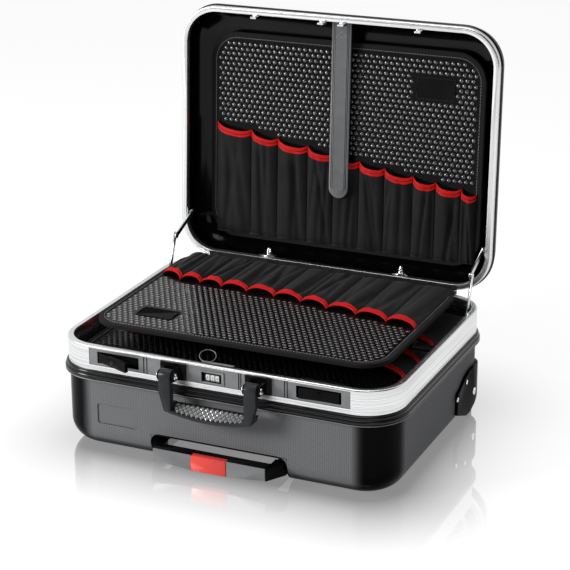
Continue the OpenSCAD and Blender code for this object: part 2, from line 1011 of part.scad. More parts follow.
// Front outline of the grip bar: flat on top, bowed below
module bar_outline() {
    bow_r = (grip_half_w * grip_half_w + bar_sag * bar_sag) / (2 * bar_sag);
    intersection() {
        translate([-grip_half_w, bar_z0])
            square([2 * grip_half_w, bar_z1 - bar_z0]);
        translate([0, bar_z0 + bow_r])
            circle(bow_r, $fn = 360);
    }
}

module trolley_grip() {
    color("#0d0e0f")
        difference() {
            union() {
                front_plate(bar_front, bar_rear)
                    bar_outline();
                translate([0, 0, 13])
                    linear_extrude(17)
                        both_sides()
                            polygon([[66, bar_rear - 2], [grip_half_w - 1, bar_front + 3], [97, -186],
                                     [97, tube_stop], [79, tube_stop], [79, -192]]);
            }
            both_sides()
                translate([tube_x, 0, tube_z])
                    front_plate(tube_stop - 8, tube_stop + 1)
                        square([inner_tube[0] + 0.1, inner_tube[1] + 0.1], center = true);
            box([-button_half_w - 0.4, bar_front - 1, 0], [button_half_w + 0.4, bar_front + 11, bar_z1 + 1]);
        }
}

module trolley_face() {
    color("#6f7274")
        difference() {
            front_plate(bar_front - 1.5, bar_front)
                bar_outline();
            box([-button_half_w - 0.4, bar_front - 5, 0], [button_half_w + 0.4, bar_front + 1, bar_z1 + 1]);
        }
}

module release_button() {
    color("#d8231f")
        intersection() {
            front_plate(bar_front - 2.5, bar_front + 8)
                bar_outline();
            box([-button_half_w, bar_front - 10, bar_z0 + 0.2], [button_half_w, bar_rear, bar_z1 - 0.2]);
        }
}

// ---- Wheels ----

hub_r = 19;

module wheel_tyre() {
    color("#161718")
        difference() {
            rod_x(wheel_x0, wheel_x0 + wheel_w, wheel_y, wheel_z, wheel_r);
            rod_x(wheel_x0 - 1, wheel_x0 + wheel_w + 1, wheel_y, wheel_z, hub_r);
        }
}

module wheel_hub() {
    color("#44474a")
        difference() {
            rod_x(wheel_x0, wheel_x0 + wheel_w, wheel_y, wheel_z, hub_r - 0.02);
            rod_x(wheel_x0 - 1, wheel_x0 + wheel_w + 1, wheel_y, wheel_z, axle_r + 0.05);
        }
}

// ---- Lid stays ----

// Where the lid's stay pin stands with the lid open
lid_pin_dy = rear_y - lid_pin_s - hinge_y;
lid_pin_dz = lid_rim_z + lid_pin_n - hinge_z;
lid_pin_open = [hinge_y + lid_pin_dy * cos(lid_angle) + lid_pin_dz * sin(lid_angle),
                hinge_z - lid_pin_dy * sin(lid_angle) + lid_pin_dz * cos(lid_angle)];
stay_span = norm(lid_pin_open - stay_pivot);
stay_dir = atan2(lid_pin_open[1] - stay_pivot[1], lid_pin_open[0] - stay_pivot[0]);
stay_bend = acos((lower_link * lower_link + stay_span * stay_span - upper_link * upper_link)
                 / (2 * lower_link * stay_span));
knuckle = stay_pivot + lower_link * [cos(stay_dir + stay_bend), sin(stay_dir + stay_bend)];
link_w = 7;
knuckle_r = 5;

// Flat link from a to b in the Y-Z plane
module link_outline(a, b, end_a, end_b) {
    translate(a)
        rotate(atan2(b[1] - a[1], b[0] - a[0]))
            translate([0, -link_w / 2])
                square([norm(b - a), link_w]);
    translate(a)
        circle(end_a);
    translate(b)
        circle(end_b);
}

module stay_lower_links() {
    color("#9b9ea1")
        both_sides()
            difference() {
                side_plate(lower_link_x, lower_link_x + link_t)
                    link_outline(stay_pivot, knuckle, 4.4, knuckle_r);
                rod_x(lower_link_x - 1, lower_link_x + link_t + 1, stay_pivot[0], stay_pivot[1], stay_pin_r + 0.05);
            }
}

module stay_upper_links() {
    color("#9b9ea1")
        both_sides()
            difference() {
                side_plate(upper_link_x, upper_link_x + link_t)
                    link_outline(lid_pin_open, knuckle, 4.4, knuckle_r);
                rod_x(upper_link_x - 1, upper_link_x + link_t + 1, lid_pin_open[0], lid_pin_open[1], stay_pin_r + 0.05);
            }
}

base_shell();
base_frame();
base_rim_trim();
lock_panel();
lock_housing();
latch_cases();
mirror([1, 0, 0]) handle_bracket();  // handle_bracket_left
handle_bracket();  // handle_bracket_right
handle_pins();
base_hinge_leaf();
hinge_pin();
floor_panel();
lower_tool_board();
lower_tool_pockets();
board_rails();
board_hinge_rail();
trolley_cup();
trolley_outer_tubes();
mirror([1, 0, 0]) wheel_housing();  // wheel_housing_left
wheel_housing();  // wheel_housing_right
housing_screws();
wheel_axles();
stay_base_brackets();
key_loop();
lid_shell();
lid_frame();
lid_rim_trim();
lid_hinge_leaf();
lid_strikes();
lid_tool_board();
lid_tool_pockets();
turn_lock_plates();
lid_standing_feet();
stay_lid_brackets();
retaining_strap();
turn_lock(-turn_lock_x);  // turn_lock_left
turn_lock(turn_lock_x);  // turn_lock_right
upper_tool_board();
upper_tool_pockets();
latch_lever_left();
latch_lever_right();
dial(0);  // dial_1
dial(1);  // dial_2
dial(2);  // dial_3
lock_button();
carry_handle();
handle_grip();
trolley_mid_tubes();
trolley_inner_tubes();
trolley_grip();
trolley_face();
release_button();
mirror([1, 0, 0]) wheel_tyre();  // wheel_tyre_left
mirror([1, 0, 0]) wheel_hub();  // wheel_hub_left
wheel_tyre();  // wheel_tyre_right
wheel_hub();  // wheel_hub_right
stay_lower_links();
stay_upper_links();
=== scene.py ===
import json
import random

import bmesh
import bpy
import numpy as np
from math import cos, exp, hypot, pi, radians, sin
from mathutils import Matrix, Vector


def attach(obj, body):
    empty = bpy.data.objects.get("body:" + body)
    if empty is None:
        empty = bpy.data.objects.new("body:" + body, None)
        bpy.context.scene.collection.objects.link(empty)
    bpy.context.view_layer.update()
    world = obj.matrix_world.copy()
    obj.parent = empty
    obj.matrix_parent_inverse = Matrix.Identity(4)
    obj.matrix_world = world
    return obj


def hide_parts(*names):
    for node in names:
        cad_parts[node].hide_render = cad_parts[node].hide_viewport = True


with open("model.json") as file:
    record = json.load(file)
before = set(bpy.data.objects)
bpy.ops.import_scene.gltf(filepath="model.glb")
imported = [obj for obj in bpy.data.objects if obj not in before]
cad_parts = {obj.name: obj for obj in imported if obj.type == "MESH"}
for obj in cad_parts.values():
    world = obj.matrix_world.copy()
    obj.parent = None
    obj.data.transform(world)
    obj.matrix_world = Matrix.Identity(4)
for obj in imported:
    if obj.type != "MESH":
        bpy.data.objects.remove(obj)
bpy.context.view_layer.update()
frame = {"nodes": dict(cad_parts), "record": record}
random.seed(7)

MM = 0.001
CASE_W, CASE_D = 490.0, 380.0
CORNER_R = 56.0
LID_RIM_Z = 153.8
HINGE_Y, HINGE_Z = 192.8, 152.9
LID_ANGLE = radians(93)
BODY_OF = {n: b for b, ns in frame["record"]["behaviour"]["bodies"].items() for n in ns}
SLOT_OF = {p["node"]: p["material_slot"] for p in frame["record"]["subparts"]}

# Turns lid coordinates (lid shut, mm) to the open lid of the rest pose
LID = (Matrix.Translation((0, HINGE_Y, HINGE_Z)) @ Matrix.Rotation(-LID_ANGLE, 4, "X")
       @ Matrix.Translation((0, -HINGE_Y, -HINGE_Z)))


def shut(x, s, n):
    """Place in the shut lid: s from its hinge edge, n from its rim inwards."""
    return (x, CASE_D / 2 - s, LID_RIM_Z + n)


def new_object(name, data):
    ob = bpy.data.objects.new(name, data)
    bpy.context.scene.collection.objects.link(ob)
    return ob


# ---- camera

def make_camera():
    az, el, roll = radians(24.393), radians(18.524), radians(-0.422)
    dist, target = 2587.0, Vector((0.45, 6.81, 274.12))
    f_px, cx, cy, frame_px = 1890.7, 277.47, 233.46, 570.0
    back = Vector((sin(az) * cos(el), -cos(az) * cos(el), sin(el)))
    right = (-back).cross(Vector((0, 0, 1))).normalized()
    up = right.cross(-back)
    r2 = right * cos(roll) + up * sin(roll)
    u2 = up * cos(roll) - right * sin(roll)
    data = bpy.data.cameras.new("camera")
    data.sensor_width = 36.0
    data.lens = f_px / frame_px * 36.0
    data.shift_x = (frame_px / 2 - cx) / frame_px
    data.shift_y = (cy - frame_px / 2) / frame_px
    data.clip_start, data.clip_end = 0.05, 50.0
    cam = new_object("camera", data)
    rot = Matrix((r2, u2, back)).transposed().to_4x4()
    cam.matrix_world = Matrix.Translation((target + back * dist) * MM) @ rot
    bpy.context.scene.camera = cam


make_camera()

# ---- materials


class Nodes:
    """A material's node tree, with short calls for what the materials share."""

    def __init__(self, name, color, rough, metal=0.0, spec=0.5, coat=0.0, coat_rough=0.1,
                 sheen=0.0, aniso=0.0):
        self.mat = bpy.data.materials.new(name)
        self.mat.use_nodes = True
        self.t = self.mat.node_tree
        self.out = self.t.nodes["Principled BSDF"]
        for key, v in (("Base Color", (*color, 1)), ("Roughness", rough), ("Metallic", metal),
                       ("Specular IOR Level", spec), ("Coat Weight", coat), ("Coat Roughness", coat_rough),
                       ("Sheen Weight", sheen), ("Anisotropic", aniso)):
            self.out.inputs[key].default_value = v
        self.mat.diffuse_color = (*color, 1)
        self.height = None

    def node(self, kind, **values):
        n = self.t.nodes.new("ShaderNode" + kind)
        for k, v in values.items():
            if k in n.inputs:
                n.inputs[k].default_value = v
            else:
                setattr(n, k, v)
        return n

    def link(self, a, b):
        self.t.links.new(a, b)

    def put(self, v, socket):
        """Gives a socket a number, a colour or another node's output."""
        if isinstance(v, (int, float)):
            socket.default_value = v
        elif isinstance(v, tuple):
            socket.default_value = (*v, 1)
        else:
            self.link(v, socket)

    def coords(self, scale=(1, 1, 1), source="Object", turn=0.0):
        c = self.node("TexCoord")
        m = self.node("Mapping")
        m.inputs["Scale"].default_value = scale
        m.inputs["Rotation"].default_value = (0, 0, turn)
        self.link(c.outputs[source], m.inputs["Vector"])
        return m.outputs["Vector"]

    def noise(self, scale, detail=3.0, rough=0.55, stretch=(1, 1, 1), source="Object"):
        n = self.node("TexNoise", Scale=scale, Detail=detail, Roughness=rough)
        self.link(self.coords(stretch, source), n.inputs["Vector"])
        return n.outputs["Fac"]

    def math(self, op, a, b=0.0, clamp=False):
        m = self.node("Math", operation=op, use_clamp=clamp)
        self.put(a, m.inputs[0])
        self.put(b, m.inputs[1])
        return m.outputs[0]

    def ramp(self, fac, lo, hi, out_lo=0.0, out_hi=1.0):
        m = self.node("MapRange", **{"From Min": lo, "From Max": hi, "To Min": out_lo, "To Max": out_hi})
        self.link(fac, m.inputs["Value"])
        return m.outputs["Result"]

    def attr(self, name):
        return self.node("Attribute", attribute_name=name).outputs["Fac"]

    def mix_color(self, fac, a, b):
        m = self.node("Mix", data_type="RGBA")
        for k, v in ((0, fac), (6, a), (7, b)):
            self.put(v, m.inputs[k])
        return m.outputs[2]

    def vary(self, a, b, fac):
        self.link(self.mix_color(fac, a, b), self.out.inputs["Base Color"])
        return self

    def rough(self, fac, lo, hi):
        self.link(self.ramp(fac, 0.3, 0.7, lo, hi), self.out.inputs["Roughness"])
        return self

    def bump(self, height, distance_mm, strength=1.0):
        b = self.node("Bump", Strength=strength, Distance=distance_mm * MM)
        self.link(height, b.inputs["Height"])
        if self.height is not None:
            self.link(self.height, b.inputs["Normal"])
        self.height = b.outputs["Normal"]
        self.link(self.height, self.out.inputs["Normal"])
        return self


def weave_height(n, pitch, source="UV", turn=radians(45)):
    """Crossed ribs of a diamond weave; the UV map is in millimetres."""
    k = 1.0 / pitch
    s = n.node("SeparateXYZ")
    n.link(n.coords((k, k, k), source, turn), s.inputs[0])
    waves = [n.math("SINE", n.math("MULTIPLY", s.outputs[axis], 2 * pi)) for axis in (0, 1)]
    return n.ramp(n.math("MULTIPLY", *waves), -1.0, 1.0)


BRUSHED = (60, 4, 0.6, (20, 0.4, 20))
# Name, base colour, roughness, two tones, the noise between them, then the bump's noise, depth in
# mm and strength, the roughness's noise and range, and values of the shader
PLAIN = [
    ("shell_inside", (0.001, 0.001, 0.0011), 0.16, (0.0008, 0.0008, 0.0009), (0.0016, 0.0016, 0.0018),
     (40, 2), (60, 2, 0.04, 0.3), (25, 2, 0.12, 0.2), {"spec": 0.18}),
    ("trim", (0.006, 0.006, 0.007), 0.16, (0.004, 0.004, 0.005), (0.01, 0.01, 0.011),
     (30, 2), (500, 2, 0.01, 0.25), (14, 3, 0.13, 0.24), {"spec": 0.3}),
    ("lock_metal", (0.22, 0.225, 0.23), 0.42, (0.15, 0.153, 0.157), (0.27, 0.275, 0.28),
     (60, 5, 0.7, (1, 1, 1.5)), (1400, 2, 0.03, 0.4), (1400, 2, 0.36, 0.5),
     {"metal": 0.45, "spec": 0.3}),
    ("black_plastic", (0.004, 0.004, 0.0045), 0.3, (0.003, 0.003, 0.0035), (0.007, 0.007, 0.0075),
     (50, 3), (1200, 2, 0.015, 0.4), (30, 3, 0.24, 0.38), {"spec": 0.012}),
    ("gloss_black", (0.003, 0.003, 0.0035), 0.12, (0.002, 0.002, 0.0025), (0.006, 0.006, 0.0065),
     (50, 3), None, (30, 3, 0.08, 0.2), {"spec": 0.05, "coat": 0.01, "coat_rough": 0.06}),
    ("bright_metal", (0.86, 0.86, 0.87), 0.12, (0.78, 0.78, 0.8), (0.92, 0.92, 0.93),
     (90, 3), None, (200, 3, 0.08, 0.2), {"metal": 1.0}),
    ("tube_metal", (0.62, 0.63, 0.64), 0.3, (0.52, 0.53, 0.54), (0.74, 0.75, 0.76),
     BRUSHED, (*BRUSHED, 0.02, 0.4), (*BRUSHED, 0.24, 0.38), {"metal": 1.0}),
    ("stay_metal", (0.58, 0.59, 0.6), 0.24, (0.48, 0.49, 0.5), (0.7, 0.71, 0.72),
     (400, 3), (400, 3, 0.01, 0.3), (80, 2, 0.18, 0.32), {"metal": 1.0}),
    ("hinge_metal", (0.02, 0.02, 0.02), 0.35, (0.015, 0.015, 0.015), (0.04, 0.04, 0.04),
     (80, 3), None, (120, 3, 0.25, 0.45), {"metal": 0.4}),
    ("board", (0.002, 0.002, 0.0022), 0.35, (0.0015, 0.0015, 0.0017), (0.004, 0.004, 0.0042),
     (60, 3), (700, 2, 0.012, 0.4), (50, 3, 0.18, 0.3), {"spec": 0.1}),
    # The domes are the board's own black plastic. Their base is lighter than the board's sheet as painted
    # light on the domes, and the darker sheet is painted shade between them
    ("dome", (0.02, 0.02, 0.021), 0.2, (0.014, 0.014, 0.015), (0.028, 0.028, 0.029),
     (60, 3), (700, 2, 0.012, 0.3), (50, 3, 0.17, 0.26),
     {"spec": 1.0, "coat": 1.0, "coat_rough": 0.14}),
    ("felt", (0.012, 0.012, 0.013), 0.85, (0.004, 0.004, 0.0045), (0.026, 0.026, 0.028),
     (1500, 4, 0.7), (1500, 4, 0.7, 0.12, 0.6), None, {"spec": 0.05, "sheen": 0.03}),
    ("thread", (0.25, 0.25, 0.26), 0.7, (0.16, 0.16, 0.165), (0.34, 0.34, 0.35),
     (2500, 2), None, None, {"spec": 0.2, "sheen": 0.05}),
    ("handle_rubber", (0.026, 0.027, 0.028), 0.34, (0.02, 0.021, 0.022), (0.034, 0.035, 0.037),
     (60, 3), (900, 2, 0.012, 0.4), (40, 3, 0.22, 0.34), {"spec": 0.1}),
    ("knurl", (0.16, 0.162, 0.165), 0.22, (0.12, 0.122, 0.125), (0.21, 0.212, 0.216),
     (90, 3), (900, 2, 0.012, 0.3), (60, 3, 0.18, 0.28), {"spec": 0.8, "coat": 0.4}),
    ("grip_rubber", (0.004, 0.004, 0.0045), 0.35, (0.003, 0.003, 0.0035), (0.008, 0.008, 0.0085),
     (70, 3), (900, 2, 0.012, 0.4), (40, 3, 0.22, 0.36), {"spec": 0.15}),
    ("face_grey", (0.17, 0.175, 0.18), 0.4, (0.11, 0.113, 0.117), (0.25, 0.255, 0.26),
     (2200, 2), (2200, 2, 0.02, 0.4), None, {"spec": 0.3}),
    ("button_red", (0.72, 0.06, 0.05), 0.3, (0.65, 0.048, 0.038), (0.8, 0.075, 0.06),
     (60, 3), (900, 2, 0.012, 0.3), None, {"spec": 0.3}),
    ("dial_plastic", (0.7, 0.71, 0.7), 0.35, (0.62, 0.63, 0.62), (0.78, 0.79, 0.78),
     (300, 3), None, None, {}),
    ("ink", (0.02, 0.02, 0.02), 0.5, (0.015, 0.015, 0.015), (0.03, 0.03, 0.03),
     (500, 2), None, None, {}),
    ("tyre_rubber", (0.014, 0.014, 0.014), 0.55, (0.01, 0.01, 0.01), (0.022, 0.022, 0.022),
     (90, 4), (500, 3, 0.05, 0.4), None, {"spec": 0.35}),
    ("hub_plastic", (0.06, 0.06, 0.063), 0.38, (0.045, 0.045, 0.048), (0.08, 0.08, 0.084),
     (120, 3), (900, 2, 0.015, 0.4), None, {}),
    ("patch", (0.005, 0.005, 0.0055), 0.6, (0.003, 0.003, 0.0032), (0.009, 0.009, 0.0095),
     (900, 4, 0.7), (1500, 3, 0.08, 0.5), None, {"spec": 0.1, "sheen": 0.02}),
    ("groove", (0.004, 0.004, 0.004), 0.5, (0.003, 0.003, 0.003), (0.007, 0.007, 0.007),
     (200, 2), None, None, {"spec": 0.3}),
]


def make_materials():
    m = {}
    for name, color, rough, dark, light, tones, bump, shine, values in PLAIN:
        n = Nodes(name, color, rough, **values)
        n.vary(dark, light, n.noise(*tones))
        if bump:
            n.bump(n.noise(*bump[:-2]), *bump[-2:])
        if shine:
            n.rough(n.noise(*shine[:-2]), *shine[-2:])
        m[name] = n.mat

    # The weave lies on the flat parts of the walls, which set_flat marks
    n = Nodes("shell", (0.10, 0.102, 0.106), 0.45, spec=0.03)
    flat = n.attr("flat")
    h = n.math("MULTIPLY", weave_height(n, 3.6), flat)
    woven = n.mix_color(h, (0.10, 0.102, 0.106), (0.20, 0.203, 0.209))
    n.vary((0.002, 0.002, 0.0022), woven, n.math("POWER", flat, 1.6))
    n.bump(h, 0.16, 0.8).bump(n.noise(900, 2), 0.02, 0.3)
    n.link(n.ramp(flat, 0, 1, 0.2, 0.5), n.out.inputs["Roughness"])
    m["shell"] = n.mat

    n = Nodes("frame_metal", (0.72, 0.73, 0.74), 0.24, metal=1.0, aniso=0.5)
    brush = n.noise(1.0, 2, 0.5, (0.003, 0.8, 1), "UV")
    broad = n.noise(1.0, 2, 0.5, (0.004, 0.25, 1), "UV")
    n.vary((0.50, 0.51, 0.52), (1.0, 1.0, 1.0), n.ramp(brush, 0.3, 0.7))
    n.bump(brush, 0.06, 0.6).rough(broad, 0.22, 0.34)
    m["frame_metal"] = n.mat

    n = Nodes("pocket_fabric", (0.010, 0.010, 0.011), 0.72, spec=0.12, sheen=0.05)
    weave = weave_height(n, 0.9, "UV", 0.0)
    n.vary((0.004, 0.004, 0.0045), (0.034, 0.034, 0.036), n.math("MULTIPLY", weave, n.noise(22, 3)))
    n.bump(weave, 0.08, 0.6).bump(n.noise(70, 4, 0.6), 0.5, 0.35)
    m["pocket_fabric"] = n.mat

    n = Nodes("binding", (0.55, 0.006, 0.006), 0.55, spec=0.12, sheen=0.03)
    ribs = weave_height(n, 1.1, "UV", 0.0)
    n.vary((0.42, 0.004, 0.004), (0.72, 0.010, 0.009), n.math("MULTIPLY", ribs, n.noise(60, 3)))
    n.bump(ribs, 0.10, 0.6)
    m["binding"] = n.mat

    n = Nodes("strap_leather", (0.12, 0.123, 0.128), 0.42, spec=0.3)
    cells = n.node("TexVoronoi", Scale=900.0)
    n.link(n.coords(), cells.inputs["Vector"])
    n.vary((0.09, 0.092, 0.096), (0.145, 0.148, 0.154), n.noise(60, 4, 0.6))
    n.bump(cells.outputs["Distance"], 0.08, 0.45).rough(n.noise(120, 3), 0.36, 0.5)
    m["strap_leather"] = n.mat
    return m


MAT = make_materials()

# ---- mesh helpers


def make(name, verts, faces, mat, body, slot, sharp=35.0, uv=None, replaces=(), mats=None,
         face_mat=None, normals=True):
    """A piece from vertices in mm. uv holds one pair per vertex, face_mat one of mats per face."""
    me = bpy.data.meshes.new(name)
    me.from_pydata([Vector(v) * MM for v in verts], [], [list(f) for f in faces])
    if uv is not None:
        layer = me.uv_layers.new(name="UVMap")
        for loop in me.loops:
            layer.data[loop.index].uv = uv[loop.vertex_index]
    for mm in mats or [mat]:
        me.materials.append(MAT[mm])
    if face_mat is not None:
        for p, k in zip(me.polygons, face_mat):
            p.material_index = k
    if normals:
        recalc(me)
    smooth(me, sharp)
    ob = new_object(name, me)
    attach(ob, body)
    if replaces:
        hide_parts(*replaces)
    return ob


def recalc(me, weld=None):
    """Turns the faces outwards, after joining vertices closer than weld, in mm."""
    bm = bmesh.new()
    bm.from_mesh(me)
    if weld:
        bmesh.ops.remove_doubles(bm, verts=bm.verts, dist=weld * MM)
    bmesh.ops.recalc_face_normals(bm, faces=bm.faces)
    bm.to_mesh(me)
    bm.free()


def smooth(me, sharp):
    """Smooth shading, with a crease where faces meet at more than sharp degrees."""
    me.shade_smooth()
    me.set_sharp_from_angle(angle=radians(sharp))


def bake_modifiers(ob):
    """Applies the piece's modifiers to its mesh."""
    dg = bpy.context.evaluated_depsgraph_get()
    dg.update()
    me = bpy.data.meshes.new_from_object(ob.evaluated_get(dg))
    ob.modifiers.clear()
    ob.data = me


def bevel_edges(ob, width, segments=2):
    b = ob.modifiers.new("bevel", "BEVEL")
    b.width = width * MM
    b.segments = segments
    b.limit_method = "ANGLE"
    b.angle_limit = radians(30)
    b.harden_normals = True
    bake_modifiers(ob)


def cad_mesh(node):
    """Vertices in mm and flat polygons of a CAD node's surface."""
    bm = bmesh.new()
    bm.from_mesh(frame["nodes"][node].data)
    bmesh.ops.remove_doubles(bm, verts=bm.verts, dist=2e-6)
    bmesh.ops.dissolve_limit(bm, angle_limit=radians(0.6), verts=bm.verts, edges=bm.edges,
                             use_dissolve_boundaries=False)
    bm.verts.ensure_lookup_table()
    verts = [v.co / MM for v in bm.verts]
    faces = [[v.index for v in f.verts] for f in bm.faces]
    bm.free()
    return verts, faces


def remake(node, mat, bevel=0.4, segments=1):
    """The CAD node's own shape with its edges rounded."""
    verts, faces = cad_mesh(node)
    ob = make(node + "_v", verts, faces, mat, BODY_OF[node], SLOT_OF[node], sharp=30.0, replaces=[node])
    if bevel:
        bevel_edges(ob, bevel, segments)
    return ob


def rr_path(w, d, r, arc=14, lead=20.0):
    """Round a rounded rectangle: place, outward direction and length so far."""
    hx, hy = w / 2 - r, d / 2 - r
    corners = [(hx, -hy, -90), (hx, hy, 0), (-hx, hy, 90), (-hx, -hy, 180)]
    out, run = [], 0.0
    for (cx, cy, a0), side in zip(corners, (2 * hy, 2 * hx, 2 * hy, 2 * hx)):
        for k in range(arc + 1):
            a = radians(a0 + 90 * k / arc)
            out.append((cx + r * cos(a), cy + r * sin(a), cos(a), sin(a), run))
            if k < arc:
                run += r * pi / 2 / arc
        a = radians(a0 + 90)
        nx, ny = cos(a), sin(a)
        ex, ey = cx + r * nx, cy + r * ny
        steps = [lead] + [lead + (side - 2 * lead) * k / 6 for k in range(1, 6)] + [side - lead]
        out += [(ex - ny * t, ey + nx * t, nx, ny, run + t) for t in steps]
        run += side
    return out, run


def strips(rows, m, cols=None, first=0, around=False, turned=False):
    """Quads between neighbouring rows of m points, from point first on."""
    faces = []
    for i in range(rows):
        a, b = first + i * m, first + ((i + 1) % rows if around else i + 1) * m
        for j in range(cols or m):
            k = (j + 1) % m
            faces.append((a + j, b + j, b + k, a + k) if turned else (a + j, a + k, b + k, b + j))
    return faces


def end_faces(rows, m):
    return [list(range(m))[::-1], [(rows - 1) * m + j for j in range(m)]]


def sweep(path, total, profile, closed=True, cap=False):
    """Profile points (outward, height) carried round a closed path."""
    verts, uv = [], []
    n, m = len(path), len(profile)
    lens = [0.0]
    for a, b in zip(profile, profile[1:]):
        lens.append(lens[-1] + hypot(b[0] - a[0], b[1] - a[1]))
    for i in range(n + 1):
        x, y, nx, ny, run = path[i % n]
        for (o, h), ln in zip(profile, lens):
            verts.append((x + nx * o, y + ny * o, h))
            uv.append((total if i == n else run, ln))
    faces = strips(n, m, m if closed else m - 1, turned=True)
    if cap:
        faces.append([i * m for i in range(n)][::-1])
        faces.append([i * m + m - 1 for i in range(n)])
    return verts, faces, uv


def cut(ob, *cutters):
    """Takes closed meshes (verts, faces in mm) out of the piece. The cut faces take the piece's
    second material, but where a cutter gives a third value its floor takes that one's."""
    made = []
    for verts, faces, *which in cutters:
        me = bpy.data.meshes.new("cutter")
        me.from_pydata([Vector(v) * MM for v in verts], [], faces)
        for p in me.polygons:
            p.material_index = which[0] if which and abs(p.normal.y) > 0.5 else 1
        recalc(me)
        c = bpy.data.objects.new("cutter", me)
        for mat in ob.data.materials:
            me.materials.append(mat)
        bpy.context.scene.collection.objects.link(c)
        made.append(c)
        mod = ob.modifiers.new("cut", "BOOLEAN")
        mod.operation = "DIFFERENCE"
        mod.solver = "EXACT"
        mod.object = c
    bake_modifiers(ob)
    for c in made:
        bpy.data.objects.remove(c)


def box_mesh(a, b):
    (x0, y0, z0), (x1, y1, z1) = a, b
    v = [(x, y, z) for x in (x0, x1) for y in (y0, y1) for z in (z0, z1)]
    f = [(0, 1, 3, 2), (4, 6, 7, 5), (0, 4, 5, 1), (2, 3, 7, 6), (0, 2, 6, 4), (1, 5, 7, 3)]
    return v, f


def prism(outline, z0, z1):
    """Closed solid over an outline in X-Y."""
    n = len(outline)
    v = [(x, y, z0) for x, y in outline] + [(x, y, z1) for x, y in outline]
    f = [list(range(n))[::-1], list(range(n, 2 * n))]
    f += [(i, (i + 1) % n, (i + 1) % n + n, i + n) for i in range(n)]
    return v, f


def arc_pts(cx, cz, r, a0, a1, n):
    angles = [radians(a0 + (a1 - a0) * k / n) for k in range(n + 1)]
    return [(cx + r * cos(a), cz + r * sin(a)) for a in angles]


def round_rect(w, d, r, arc=6):
    x, y = w / 2 - r, d / 2 - r
    corners = ((x, -y, -90), (x, y, 0), (-x, y, 90), (-x, -y, 180))
    return [p for cx, cy, a0 in corners for p in arc_pts(cx, cy, r, a0, a0 + 90, arc)]


class Build:
    """Collects many small solids into one mesh."""

    def __init__(self):
        self.v, self.f, self.uv = [], [], []

    def add(self, verts, faces, uv=None):
        k = len(self.v)
        self.v += [tuple(p) for p in verts]
        self.f += [[i + k for i in f] for f in faces]
        self.uv += uv if uv else [(p[0], p[1]) for p in verts]

    def tube(self, points, radius, sides=8, flat=1.0, up=None):
        """Round or flattened tube along points, closed at both ends."""
        pts = [Vector(p) for p in points]
        rows = []
        ref = Vector(up) if up else None
        for i, p in enumerate(pts):
            d = (pts[min(i + 1, len(pts) - 1)] - pts[max(i - 1, 0)]).normalized()
            side = ref.cross(d) if ref and abs(ref.dot(d)) < 0.98 else d.orthogonal()
            side.normalize()
            if not ref:
                ref = d.cross(side).normalized()
                side = ref.cross(d).normalized()
            top = d.cross(side).normalized()
            row = []
            for k in range(sides):
                a = 2 * pi * k / sides
                row.append(p + side * (radius * cos(a)) + top * (radius * flat * sin(a)))
            rows.append(row)
        verts = [v for row in rows for v in row]
        self.add(verts, strips(len(rows) - 1, sides) + end_faces(len(rows), sides))

    def done(self, name, mat, body, slot, **kw):
        return make(name, self.v, self.f, mat, body, slot, uv=self.uv, **kw)

    def stand_for(self, node, mat, **kw):
        """Makes the piece that replaces a CAD node."""
        self.done(node + "_v", mat, BODY_OF[node], SLOT_OF[node], replaces=[node], **kw)


# ---- shells and frames

SHELL_W, SHELL_D, SHELL_R, WALL = 487.0, 377.0, 54.5, 3.0
BASE_FILLET, LID_FILLET, BASE_WALL_H, LID_H = 32.0, 36.0, 128.0, 58.0
WELD = 0.01
# Recess of the trolley's grip and place of the bare name plate: x and z ranges, corner radius
GRIP_RECESS = (-100.5, 100.5, -30, 39.5, 14)
NAME_PLATE = (-180, -120, 40.5, 69, 3.5)
WHEEL_BOX = (194, 138, 71)


def to_m(xf):
    scale = Matrix.Scale(MM, 4)
    return scale @ xf @ scale.inverted()


def unit(x):
    return min(max(x, 0.0), 1.0)


def shell_profile(fillet, top, step=6):
    """Wall section from the bottom's rim up outside, over the top and down inside."""
    out = []
    for k in range(90 // step + 1):
        a = radians(90 - k * step)
        out.append((-fillet * (1 - cos(a)), fillet * (1 - sin(a))))
    out += [(0, fillet + 5), (0, top), (-WALL, top), (-WALL, fillet)]
    inner = fillet - WALL
    for k in range(1, 90 // step + 1):
        a = radians(k * step)
        out.append((-WALL - inner * (1 - cos(a)), WALL + inner * (1 - sin(a))))
    return out


def set_flat(ob, fillet):
    """Marks the bottom and the flat parts of the walls with 1, the corners and fillets with 0."""
    hx, hy = SHELL_W / 2 - SHELL_R, SHELL_D / 2 - SHELL_R
    past, fade = 16.0, 14.0
    values = []
    for v in ob.data.vertices:
        x, y, z = (abs(c) / MM for c in v.co)
        along = max(hx - x if y > hy else -99.0, hy - y if x > hx else -99.0) + past
        up = (z - 0.2 * fillet) / (0.4 * fillet)
        end = unit(1.0 - z / (0.09 * fillet))
        values.append(end + (1.0 - end) * unit(along / fade) * unit(up))
    flat = ob.data.attributes.new("flat", "FLOAT", "POINT")
    flat.data.foreach_set("value", np.array(values, np.float32))


